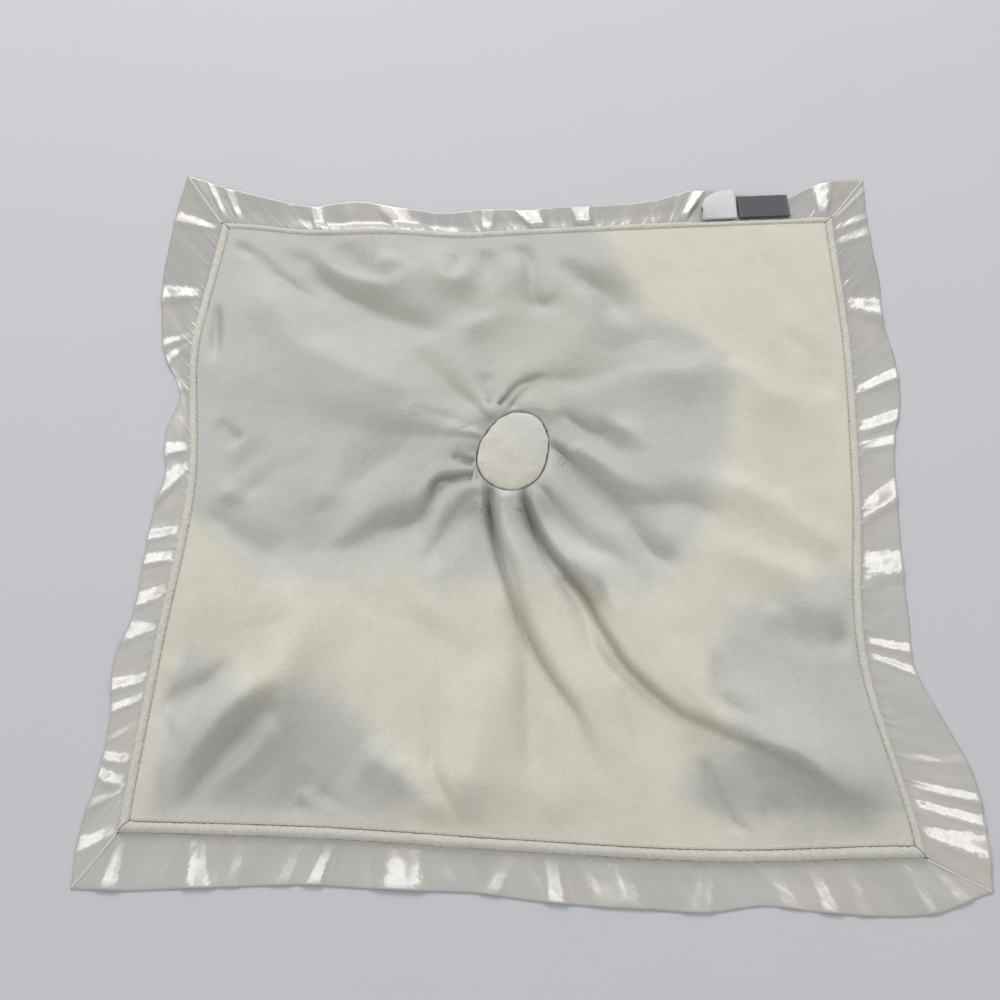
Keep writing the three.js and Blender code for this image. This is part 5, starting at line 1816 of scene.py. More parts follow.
@dataclass
class SatinRuffle:
    """The four strips of gathered satin, mitred where they meet.

    The leans say how far the satin's floats lean along X and Y where they catch the light: at
    the middle of the blanket, what is added for each metre away from it, how far they stray at
    random, and how far they lean to the near side on the far strip.
    """

    plan: SeamPlan
    stations: int = 720
    spans: int = 22
    thickness: float = 0.6
    seam_offset: float = 1.75
    root_drop: float = 0.9
    hem_height: float = 0.4
    tilt: float = math.radians(6.0)
    lean_at_middle: tuple[float, float] = (-0.11, 0.13)
    lean_per_metre: tuple[float, float] = (-1.7, -1.2)
    stray_lean: float = 0.05
    far_lean: float = 0.35
    faint: int = 34
    glints: int = 20
    gathers: int = 46
    gather_rise: float = 0.55
    mitre_length: float = 30.0
    mitre_radius: float = 0.4
    cut_length: float = 322.0
    cut_depth: float = 24.0

    def slopes(self, side: Side, share: Array, out: Array) -> tuple[Array, Array]:
        """The slopes that catch the light, narrow at the seam and wide at the hem.

        On the left and right side each climbs away from the far side over its own width, a
        little steeper in its middle, and falls back over half as much. On the near side it is
        a flat top that climbs to the hem, and on the far side one that falls to it. A fine
        noise frays its ends, and a broader one dims the middle of the wide ones in places.

        Args:
            side: which side.
            share: places along the strip.
            out: places across it, 0 at the seam.

        Returns:
            How far each point is raised, and how much of a slope it lies in.
        """
        rise, lit = np.zeros_like(share), np.zeros_like(share)
        tilt = math.tan(self.tilt)
        run = np.stack([share * self.plan.panel_side, out * self.plan.ruffle_depth], axis=-1)
        ragged = 0.05 * lattice_noise(run, 2.2, 171 + side.value)
        ragged += 0.1 * lattice_noise(run, 0.8, 181)
        wander = lattice_noise(run, 5.0, 191 + side.value)
        lit += self.faint_bands(side, share, out, ragged)
        for seam_start, seam_end, hem_start, hem_end, strength in SIDE_SHAPES[side].slopes:
            start = seam_start + (hem_start - seam_start) * out
            width = (seam_end - seam_start) * (1.0 - out) + (hem_end - hem_start) * out
            t = (share - start) / width
            frayed = t + ragged
            full = plateau(-0.04, 0.22, 0.92, 1.02, frayed)
            dimmed = np.exp(-(((t - 0.55) / 0.22) ** 2)) * smoothstep(-0.2, 0.5, wander)
            dimmed *= smoothstep(0.012, 0.03, width)
            lit += strength**0.6 * full * (1.0 - 0.5 * dimmed)
            if side in (Side.NEAR, Side.FAR):
                near = side is Side.NEAR
                reach = out if near else 1.6 * (1.0 - out) * smoothstep(0.0, 0.35, out)
                tilted = strength * (0.35 if near else 0.75) * tilt * self.plan.ruffle_depth
                rise += tilted * plateau(-0.3, 0.1, 0.9, 1.3, t) * reach
                continue
            t = t if side is Side.LEFT else 1.0 - t
            climb = np.clip(t, 0.0, 1.0) - 0.35 * np.sin(TAU * np.clip(t, 0.0, 1.0)) / TAU
            back = 1.0 - smoothstep(0.0, 0.55, t - 1.0)
            full = strength * tilt * width * self.plan.panel_side
            rise += full * climb * back * smoothstep(0.0, 0.4, out)
        return rise, lit * smoothstep(0.02, 0.2, out)

    def faint_bands(self, side: Side, share: Array, out: Array, ragged: Array) -> Array:
        """How much each point lies in the faint bands and seam glints between the bright slopes.

        The bands are seeded: each is a slanted bell across the strip, crisp on one edge and
        feathered on the other. The glints are short and hang from the seam.

        Args:
            side: which side.
            share: places along the strip.
            out: places across it, 0 at the seam.
            ragged: the fine noise of the edges.

        Returns:
            The share of a full slope, below 0.5 in the bands.
        """
        draw = np.random.default_rng(310 + side.value)
        lit = np.zeros_like(share)
        for place in (np.arange(self.faint) + draw.uniform(0.1, 0.9, self.faint)) / self.faint:
            width, slant, strength, short = draw.uniform(
                [0.008, -0.03, 0.12, 0.0], [0.032, 0.03, 0.42, 1.0])
            t = (share - place - slant * (out - 0.5)) / (width * (0.5 + 0.5 * out)) + 0.5 * ragged
            band = plateau(0.0, 0.75, 0.9, 1.02, t)
            lit += strength * band * (1.0 - smoothstep(0.6, 0.9, out) * (short > 0.6))
        for place in draw.uniform(0.02, 0.98, self.glints):
            width, reach, strength = draw.uniform([0.003, 0.15, 0.3], [0.007, 0.35, 1.0])
            t = (share - place) / (width * (1.0 - 0.6 * out / reach).clip(0.2)) + ragged
            glint = strength * (1.0 - smoothstep(0.5, 1.0, np.abs(t)))
            lit += glint * (1.0 - smoothstep(0.6, 1.0, out / reach))
        return lit

    def creases(self, side: Side, share: Array, out: Array) -> Array:
        """The small gathers at the seam: seeded bells that fade out before the hem.

        Args:
            side: which side.
            share: places along the strip.
            out: places across it, 0 at the seam.

        Returns:
            How far each point is raised.
        """
        draw = np.random.default_rng(60 + side.value)
        places = (np.arange(self.gathers) + draw.uniform(0.2, 0.8, self.gathers)) / self.gathers
        widths = draw.uniform(0.0025, 0.0055, self.gathers)
        heights = draw.uniform(0.4, 1.0, self.gathers) * self.gather_rise
        reaches = draw.uniform(0.1, 0.28, self.gathers)
        total = np.zeros_like(share)
        for place, width, height, reach in zip(places, widths, heights, reaches):
            bell = np.exp(-(((share - place) / (width * (0.6 + out))) ** 2))
            total += height * bell * np.exp(-((out / reach) ** 1.5)) * smoothstep(0.0, 0.06, out)
        return total

    def fall(self, side: Side, share: Array, out: Array) -> Array:
        """The height of a strip without its slopes: it falls from its root to the hem's height.

        Args:
            side: which side.
            share: places along the strip.
            out: places across it, 0 at the seam.

        Returns:
            The height of each point.
        """
        root = self.plan.height(side, share) - self.root_drop
        return root + (self.hem_height - root) * smoothstep(0.0, 0.5, out) ** 0.9

    def strip(self, side: Side) -> Skin:
        """One strip: seam to hem, falling to the floor, with its slopes, gathers and crumples.

        Where a slope lies, the satin's floats lean over too, by an amount that changes with
        place. Between the slopes they stray a little, and on the far side they lean back.

        Args:
            side: which side.

        Returns:
            The strip's skin.
        """
        share, out = np.meshgrid(
            self.plan.mitred_share(np.linspace(0.0, 1.0, self.stations + 1)),
            np.linspace(0.0, 1.0, self.spans + 1) ** 1.15,
            indexing="ij",
        )
        seam = self.plan.seam(side, share, self.seam_offset)
        hem = self.plan.hem(side, share)
        flat = seam + (hem - seam) * out[..., None]
        rise, lit = self.slopes(side, share, out)
        run = np.stack([share * self.plan.panel_side, out * self.plan.ruffle_depth], axis=-1)
        crumple = 0.12 * lattice_noise(run, 5.5, 71 + side.value)
        crumple += 0.2 * lattice_noise(run * [1.0, 0.35], 8.0, 81 + side.value)
        height = self.fall(side, share, out) + rise + self.creases(side, share, out)
        height += crumple * np.sin(out * math.pi * 0.75) * 0.8
        half = self.thickness / 2.0 * (1.0 - 0.7 * smoothstep(0.9, 1.0, out))
        middle = raised(flat, np.maximum(height, half + 0.04))
        thick = half[..., None] * UP
        weave = raised(run, np.zeros_like(share)) * MM
        lean = np.array(self.lean_at_middle) + np.array(self.lean_per_metre) * flat * MM
        lean *= lit[..., None]
        stray = [lattice_noise(run * [1.0, 0.4], 6.0, seed + side.value) for seed in (201, 211)]
        lean += self.stray_lean * np.stack(stray, axis=-1)
        unlit = 1.0 - np.minimum(lit, 1.0)
        lean[..., 1] -= self.far_lean * smoothstep(30.0, 130.0, flat[..., 1]) * unlit
        catch = raised(lean, np.zeros_like(share))
        fields = {"weave": (weave, weave), "catch": (catch, 0.0 * catch)}
        return Skin.slab(middle + thick, middle - thick, False, fields)

    def mitre(self, side: Side) -> Skin:
        """The rolled mitre seam at a side's first corner: a thin tube over the two strips' ends.

        Args:
            side: the side that starts at the corner.

        Returns:
            The seam's skin.
        """
        share, turn = np.linspace(0.02, 0.97, 60), turns(10)
        corner = np.zeros(1)
        start = self.plan.seam(side, corner, self.plan.welt_radius + self.plan.clearance)[0]
        tip = self.plan.hem(side, corner)[0]
        flat = start + (tip - start) * share[:, None]
        after = self.slopes(side, np.zeros_like(share), share)[0]
        before = self.slopes(side.before, np.ones_like(share), share)[0]
        height = self.fall(side, corner, share) + np.maximum(after, before) + 0.2
        along = (tip - start) / np.linalg.norm(tip - start)
        across = np.array([-along[1], along[0], 0.0])
        run = share * self.mitre_length
        size = self.mitre_radius * (1.0 + 0.12 * line_noise(run, 1.3, 90 + side.value))
        ring = across * (np.cos(turn) * 1.3)[:, None] + UP * np.sin(turn)[:, None]
        return Skin.loft(raised(flat, height)[:, None] + size[:, None, None] * ring[None])

    def build(self, finishes: Finishes) -> None:
        """Makes the strips and the mitre seams.

        Args:
            finishes: the materials.
        """
        for side in Side:
            name = side.name.lower()
            strip = Piece(f"ruffle_{name}_satin", Slot.SATIN, (f"satin_ruffle_{name}",))
            cloth = strip.place(self.strip(side), finishes.satin)
            seam = Piece(f"mitre_seam_{name}", Slot.SATIN)
            mitre = seam.place(self.mitre(side), finishes.cream_thread)


# ---------------------------------------------------------------- the neck


@dataclass
class NeckPatch:
    """The patch that closes the neck opening, its puckered edge and its ladder stitches."""

    ring: NeckRing
    rise: float = 3.6
    edge: float = 1.2
    facets: int = 160
    stitches: int = 9
    stitched: tuple[float, float] = (0.35, 1.75)
    stitch_length: float = 2.2
    stitch_bow: float = 0.25
    thread_radius: float = 0.16
    skew: float = 0.5

    def patch(self) -> Skin:
        """The domed patch: rings from its crown over the rolled rim to the middle underneath.

        The height is the edge's, and the rest of the rise times the root of 1 less the share
        of the radius squared, and the rim is a quarter circle that tucks down into the seam.

        Returns:
            The patch's skin.
        """
        over = np.linspace(0.04, 0.94, 26)
        roll = np.linspace(0.0, TAU / 4.0, 9)[1:]
        back = np.linspace(0.9, 0.05, 8)
        share = np.concatenate([over, 0.94 + 0.06 * np.sin(roll), [0.985], back])
        crown = self.edge + (self.rise - self.edge) * np.sqrt(1.0 - over**2)
        rim = crown[-1] - 1.9 * (1.0 - np.cos(roll))
        low = -self.ring.cloth_half
        height = np.concatenate([crown, rim, [low + 0.2], np.full_like(back, low)])
        angle = turns(self.facets)
        pucker = 0.006 * np.cos(13.0 * angle + 2.0 * np.sin(3.0 * angle))
        pucker += 0.006 * np.sin(7.0 * angle)
        radius = self.ring.radius * share[:, None] * self.ring.outline(angle)
        radius *= 1.0 + pucker * smoothstep(0.55, 1.0, share)[:, None]
        flat = radius[..., None] * circle(angle)
        dents = 0.4 * lattice_noise(flat, 8.0, 101) + 0.1 * lattice_noise(flat, 2.5, 102)
        dip = 12.0 * pucker * smoothstep(0.7, 0.98, share)[:, None]
        lift = np.where(np.arange(len(share)) < len(over) + len(roll), 1.0, 0.0)[:, None]
        local = raised(flat, height[:, None] + (dents + dip) * lift)
        tone = (flat.sum(axis=-1, keepdims=True) - 6.0) / 24.0
        return Skin.loft(self.ring.to_place(local), {"blotch": tone})

    def ladder(self) -> Skin:
        """The few hand stitches that show across the groove between the patch and the cloth.

        Returns:
            The stitches, seeded in their places and heights and laid askew.
        """
        draw = np.random.default_rng(111)
        first, last = self.stitched
        places = np.arange(self.stitches) + draw.uniform(-0.25, 0.25, self.stitches)
        angle = first + places * ((last - first) / self.stitches)
        out = raised(circle(angle), 0.0 * angle)
        local = out * ((self.ring.radius + 0.1) * self.ring.outline(angle))[:, None]
        local[:, 2] = 0.75 + draw.uniform(-0.15, 0.15, self.stitches)
        around = np.stack([-np.sin(angle), np.cos(angle), 0.0 * angle], axis=1)
        skewed = unit(out + self.skew * around)
        stitches = stitch_skin(
            local, skewed, self.stitch_length, self.thread_radius, self.stitch_bow)
        return Skin(self.ring.to_place(stitches.points), stitches.quads, stitches.triangles)

    def build(self, finishes: Finishes) -> None:
        """Makes the patch and its stitches.

        Args:
            finishes: the materials.
        """
        patch = Piece("neck_patch_velour", Slot.CREAM_VELOUR, ("neck_disc",))
        patch.place(self.patch(), finishes.patch_velour)
        ladder = Piece("neck_ladder_stitches", Slot.CREAM_VELOUR)
        ladder.place(self.ladder(), finishes.cream_thread)


# ---------------------------------------------------------------- the head under the cloth


@dataclass
class PlushHead:
    """The small plush head, lying on its face: a gusset between two sides, and its filling."""

    form: HeadForm
    gusset_half: float = 10.0
    plush: float = 1.3
    clearance: float = 0.3
    opening: float = 11.0
    seam_rounding: float = 1.4
    sunk: float = 0.1
    tuft_height: float = 0.32
    tuft_size: float = 2.3
    lump_height: float = 0.45
    lump_size: float = 6.0
    pole: float = 0.03

    def gusset(self) -> Skin:
        """The gusset: a strip round the head that leaves the neck opening on top.

        Its turn about X runs from the opening's far edge, where the sine of the turn is the
        edge's distance over the form's radius there, right round to the near edge. It dips
        at its seams, and small tufts lift its pile.

        Returns:
            The gusset's skin.
        """
        half_share = self.gusset_half / self.form.radii[0]
        across = np.linspace(-half_share, half_share, 45)
        reach = self.form.radii[1] * np.sqrt(1.0 - across**2)
        gap = np.sqrt(self.opening**2 - (across * self.form.radii[0]) ** 2)
        first = np.arcsin((gap + self.form.forward) / reach)
        last = TAU - np.arcsin((gap - self.form.forward) / reach)
        share = np.linspace(0.0, 1.0, 260)[:, None]
        turn = first + (last - first) * share
        from_seam = (half_share - np.abs(across)) * self.form.radii[0] + 0.0 * turn
        from_end = np.minimum(share, 1.0 - share) * 120.0 + 0.0 * turn
        rim = np.minimum(round_edge(from_seam, self.seam_rounding), round_edge(from_end, 1.0))
        thick = self.plush * rim
        place = np.stack([across * 30.0 + 0.0 * turn, turn * 22.0], axis=-1)
        pile = self.tuft_height * lattice_noise(place, self.tuft_size, 121)
        pile *= round_edge(from_seam, 2.5)
        wide = np.broadcast_to(across, turn.shape)
        outer = self.form.point(wide, turn, thick - self.plush + pile - self.sunk)
        inner = self.form.point(wide, turn, np.full_like(turn, -self.plush))
        return Skin.slab(outer, inner, False)

    def side(self, sign: float) -> Skin:
        """One side of the head: rings from its outer pole to the seam and back inside it.

        Args:
            sign: -1 for the left side, 1 for the right.

        Returns:
            The side's skin.
        """
        rim = math.asin((self.gusset_half + self.clearance) / self.form.radii[0])
        rise = np.linspace(TAU / 4.0 - self.pole, rim, 46)
        lean, around = np.meshgrid(rise, turns(180), indexing="ij")
        from_seam = (np.sin(lean) - math.sin(rim)) * self.form.radii[0]
        thick = self.plush * round_edge(from_seam, self.seam_rounding)
        place = np.stack([lean * 26.0, around * 18.0 * np.maximum(np.cos(lean), 0.2)], axis=-1)
        pile = self.tuft_height * lattice_noise(place, self.tuft_size, 122)
        pile = pile * smoothstep(0.0, 4.0, from_seam) * np.cos(lean)
        across = sign * np.sin(lean)
        outer = self.form.point(across, around, thick - self.plush + pile - self.sunk)
        inner = self.form.point(across, around, np.full_like(lean, -self.plush))
        return Skin.loft(np.concatenate([outer, inner[::-1]]))

    def filling(self) -> Skin:
        """The filling: the head's form, shrunk by the cover and a little lumpy.

        Returns:
            The filling's skin.
        """
        rise = np.linspace(-TAU / 4.0 + self.pole, TAU / 4.0 - self.pole, 70)
        lean, around = np.meshgrid(rise, turns(96), indexing="ij")
        shape = np.stack([lean * 26.0, np.cos(around) * 20.0], axis=-1)
        lumps = self.lump_height * lattice_noise(shape, self.lump_size, 123) * np.cos(lean)
        grow = lumps - self.plush - self.clearance - self.lump_height
        return Skin.loft(self.form.point(np.sin(lean), around, grow))

    def build(self, finishes: Finishes) -> None:
        """Makes the cover's three pieces and the filling.

        Args:
            finishes: the materials.
        """
        for name, node, skin in (
            ("head_gusset_plush", "head_gusset", self.gusset()),
            ("head_left_plush", "head_left_side", self.side(-1.0)),
            ("head_right_plush", "head_right_side", self.side(1.0)),
        ):
            Piece(name, Slot.CREAM_PLUSH, (node,)).place(skin, finishes.plush)
        inside = Piece("head_filling_fibre", Slot.FILLING, ("head_filling",))
        inside.place(self.filling(), finishes.filling)


@dataclass
class NeckBand:
    """The gathered band that joins the head's opening to the cloth."""

    ring: NeckRing
    form: HeadForm
    wall: float = 1.6
    gathers: int = 22
    outer_depth: float = 0.9
    inner_depth: float = 0.5
    facets: int = 220
    rings: int = 14
    clearance: float = 0.3

    def band(self) -> Skin:
        """The band: from the head's top up to the cloth, folded inwards by its gathers.

        Returns:
            The band's skin.
        """
        turn, share = np.meshgrid(
            turns(self.facets), np.linspace(0.0, 1.0, self.rings), indexing="ij")
        fold = 0.5 - 0.5 * np.cos(self.gathers * turn + 1.2 * np.sin(3.0 * turn))
        top = -self.ring.cloth_half - self.clearance

        def wall(radius: float, depth: float) -> Array:
            """One wall of the band.

            Args:
                radius: the wall's radius.
                depth: how deep its gathers are.

            Returns:
                The wall's points, from the head's top up.
            """
            size = radius - depth * fold * np.sin(share * math.pi * 0.9 + 0.15)
            size = size * self.ring.outline(turn)
            flat = circle(turn) * size[..., None]
            high = self.ring.to_place(raised(flat, np.full_like(share, top)))
            low = self.form.top(high[..., :2], self.clearance)
            return raised(high[..., :2], low + (high[..., 2] - low) * share)

        outer = wall(self.ring.radius, self.outer_depth)
        inner = wall(self.ring.radius - self.wall, self.inner_depth)
        return Skin.slab(outer, inner, True)

    def build(self, finishes: Finishes) -> None:
        """Makes the band.

        Args:
            finishes: the materials.
        """
        band = Piece("neck_band_plush", Slot.CREAM_PLUSH, ("neck_band",))
        band.place(self.band(), finishes.plush)


@dataclass
class Face:
    """The muzzle with the stitched nose and the two stitched eyes, facing the floor."""

    form: HeadForm
    muzzle_radii: tuple[float, float, float] = (13.0, 10.0, 6.0)
    muzzle_height: float = 5.5
    nose_radii: tuple[float, float, float] = (3.5, 2.2, 2.0)
    nose_share: float = 0.93
    eye_radius: float = 2.6
    eye_half_spacing: float = 12.0
    eye_forward: float = 12.0
    ridge_height: float = 0.045
    nose_ridges: float = 9.0
    eye_ridges: float = 7.0
    pole: float = 0.06
    clearance: float = 0.3

    @property
    def muzzle_centre(self) -> Array:
        """The middle of the muzzle's form."""
        return np.array([*self.form.centre[:2], self.muzzle_height])

    def muzzle(self) -> Skin:
        """The muzzle: a pad between the floor and the head.

        Its under side is an ellipsoid that the floor presses flat, and its upper side is the
        lower of that ellipsoid's top and the head's under side.

        Returns:
            The muzzle's skin.
        """
        share = np.sin(np.linspace(0.03, TAU / 4.0, 34))
        ring, turn = np.meshgrid(share, turns(120), indexing="ij")
        wide, long = self.muzzle_radii[0] * ring, self.muzzle_radii[1] * ring
        flat = np.stack([wide * np.cos(turn), long * np.sin(turn)], axis=-1)
        bulge = self.muzzle_radii[2] * np.sqrt(np.clip(1.0 - ring**2, 0.0, 1.0))
        pile = 0.25 * lattice_noise(flat, 2.2, 131) * (1.0 - ring)
        low = np.maximum(self.muzzle_height - bulge + pile, 0.02)
        flat = flat + self.muzzle_centre[:2]
        high = np.minimum(self.muzzle_height + bulge, self.form.under(flat, self.clearance) - 0.05)
        high = np.maximum(high, low + 0.02)
        return Skin.loft(np.concatenate([raised(flat, low), raised(flat, high)[::-1][1:]]))

    def stitched(self, centre: Array, radii: Array, base: Array, base_radii: Array,
                 stitches: float) -> Skin:
        """A pad of satin stitches: an ellipsoid pushed out of the form that it is sewn on.

        Its ridges are a cosine across it. A point inside the form moves along the line from
        the form's middle to its surface.

        Args:
            centre: the pad's middle.
            radii: its three radii.
            base: the middle of the form under it.
            base_radii: the radii of that form.
            stitches: how many ridges lie across it.

        Returns:
            The pad's skin.
        """
        rise = np.linspace(-TAU / 4.0 + self.pole, TAU / 4.0 - self.pole, 56)
        lean, turn = np.meshgrid(rise, turns(72), indexing="ij")
        ring = np.cos(lean)
        ball = np.stack([np.sin(lean), ring * np.cos(turn), ring * np.sin(turn)], axis=-1)
        ridge = self.ridge_height * np.cos(math.pi * stitches * np.sin(lean))
        ridge += 0.02 * np.sin(9.0 * turn + 5.0 * lean)
        points = centre + ball * radii * (1.0 + ridge * ring)[..., None]
        grown = base_radii + self.clearance
        inside = (points - base) / grown
        size = np.linalg.norm(inside, axis=-1, keepdims=True)
        return Skin.loft(base + inside / np.minimum(size, 1.0) * grown)

    def nose(self) -> Skin:
        """The nose, on the upper slope of the muzzle.

        Returns:
            The nose's skin.
        """
        drop = self.muzzle_radii[2] * math.sqrt(1.0 - self.nose_share**2)
        centre = self.muzzle_centre - np.array([0.0, self.nose_share * self.muzzle_radii[1], drop])
        radii, under = np.array(self.nose_radii), np.array(self.muzzle_radii)
        return self.stitched(centre, radii, self.muzzle_centre, under, self.nose_ridges)

    def eye(self, sign: float) -> Skin:
        """An eye on the head's under side.

        Args:
            sign: -1 for the left one, 1 for the right one.

        Returns:
            The eye's skin.
        """
        flat = self.form.centre[:2] + np.array([sign * self.eye_half_spacing, -self.eye_forward])
        centre = np.array([*flat, float(self.form.under(flat, 0.0))])
        radii, under = np.full(3, self.eye_radius), np.array(self.form.radii)
        return self.stitched(centre, radii, self.form.centre, under, self.eye_ridges)

    def build(self, finishes: Finishes) -> None:
        """Makes the muzzle, the nose and the eyes.

        Args:
            finishes: the materials.
        """
        muzzle = Piece("muzzle_plush", Slot.CREAM_PLUSH, ("muzzle",))
        muzzle.place(self.muzzle(), finishes.plush)
        for node, skin in (
            ("nose", self.nose()), ("eye_left", self.eye(-1.0)), ("eye_right", self.eye(1.0)),
        ):
            made = Piece(f"{node}_stitches", Slot.DARK_THREAD, (node,))
            made.place(skin, finishes.dark_thread)


@dataclass
class Ear:
    """One leaf-shaped ear with its velour lining, hanging from the head's side to the floor."""

    form: HeadForm
    sign: float
    body: Body
    length: float = 21.0
    width: float = 24.0
    thickness: float = 4.0
    seam: float = 0.4
    lining: float = 0.8
    lining_start: float = 0.28
    lining_length: float = 0.5
    lining_width: float = 0.6
    place_angle: float = math.radians(30.0)
    leaf_end: float = 0.94
    clearance: float = 0.3

    def __post_init__(self) -> None:
        """Works out where the ear is sewn on, which way it points and how far it droops."""
        across, along = self.form.radii[0], self.form.radii[1]
        cos, sin = math.cos(self.place_angle), math.sin(self.place_angle)
        slope = math.hypot(along * cos, across * sin)
        outward = np.array([self.sign * along * cos, -across * sin]) / slope
        self.root_radius = slope**3 / (across * along)
        seat = np.array([self.sign * across * cos, -along * sin])
        seat = seat + outward * (self.clearance + self.seam)
        self.root = self.form.centre + np.array([*seat, 0.0])
        self.heading = math.atan2(outward[1], outward[0])
        self.droop = math.asin(min(1.0, (self.form.centre[2] - self.thickness / 2.0) / self.length))

    def to_place(self, local: Array) -> Array:
        """Turns points made flat, growing along X, by the droop and then by the heading.

        Args:
            local: the points, with the ear's root at zero.

        Returns:
            The points in the row's frame.
        """
        cos, sin = math.cos(self.droop), math.sin(self.droop)
        x, y, z = local[..., 0], local[..., 1], local[..., 2]
        out, height = x * cos + z * sin, z * cos - x * sin
        c, s = math.cos(self.heading), math.sin(self.heading)
        return np.stack([out * c - y * s, out * s + y * c, height], axis=-1) + self.root

    def leaf(self, length: float, width: float, start: float) -> tuple[Array, Array, Array]:
        """A leaf seen from above, its root curved round the head.

        The tip lies at the length times the root of 1 less the share across squared.

        Args:
            length: how long it is.
            width: how wide it is.
            start: how far out it starts.

        Returns:
            Its flat points, and the shares across and out.
        """
        wide, long = np.linspace(-1.0, 1.0, 97), np.linspace(0.0, 1.0, 61)
        across, out = np.meshgrid(wide, long, indexing="ij")
        y = across * width / 2.0
        root = -(y**2) / (2.0 * self.root_radius)
        tip = length * np.sqrt(1.0 - (self.leaf_end * across) ** 2)
        return np.stack([start + root + (tip - root) * out, y], axis=-1), across, out

    def half_thickness(self, across: Array, out: Array) -> Array:
        """Half the ear's thickness: a sine along it, thin at its root, seam and tip.

        Args:
            across: places across the ear, -1 to 1.
            out: places along it, 0 at its root.

        Returns:
            Half the thickness at each place.
        """
        swell = np.sqrt(np.sin(math.pi * (0.08 + 0.84 * out)))
        taper = np.minimum(1.0, out / 0.25) * np.sqrt(1.0 - (self.leaf_end * across) ** 2)
        return self.seam + (self.thickness / 2.0 - self.seam) * swell * taper

    def build(self, finishes: Finishes) -> None:
        """Makes the ear and its lining.

        Args:
            finishes: the materials.
        """
        side = "left" if self.sign < 0.0 else "right"
        flat, across, out = self.leaf(self.length, self.width, 0.0)
        half = self.half_thickness(across, out)
        edge = smoothstep(0.0, 0.12, np.minimum(np.minimum(out, 1.0 - out), 1.0 - np.abs(across)))
        pile = 0.22 * lattice_noise(flat, 2.1, 141) * edge
        upper, lower = self.to_place(raised(flat, half + pile)), self.to_place(raised(flat, -half))
        ear = Piece(f"ear_{side}_plush", Slot.CREAM_PLUSH, (f"ear_{side}",), self.body)
        ear.place(Skin.slab(upper, lower, False), finishes.plush)
        long, wide = self.lining_length * self.length, self.lining_width * self.width
        inset, across, out = self.leaf(long, wide, self.lining_start * self.length)
        half = self.half_thickness(inset[..., 1] / (self.width / 2.0), inset[..., 0] / self.length)
        top = -half - self.clearance
        edge = np.minimum(np.minimum(out, 1.0 - out) * 8.0, (1.0 - np.abs(across)) * 7.0)
        thick = self.lining * (0.35 + 0.65 * round_edge(edge, 0.7))
        upper, lower = self.to_place(raised(inset, top)), self.to_place(raised(inset, top - thick))
        node = f"ear_lining_{side}"
        lining = Piece(f"ear_{side}_lining_velour", Slot.GREY_VELOUR, (node,), self.body)
        lining.place(Skin.slab(upper, lower, False), finishes.lining_velour)


# ---------------------------------------------------------------- the labels


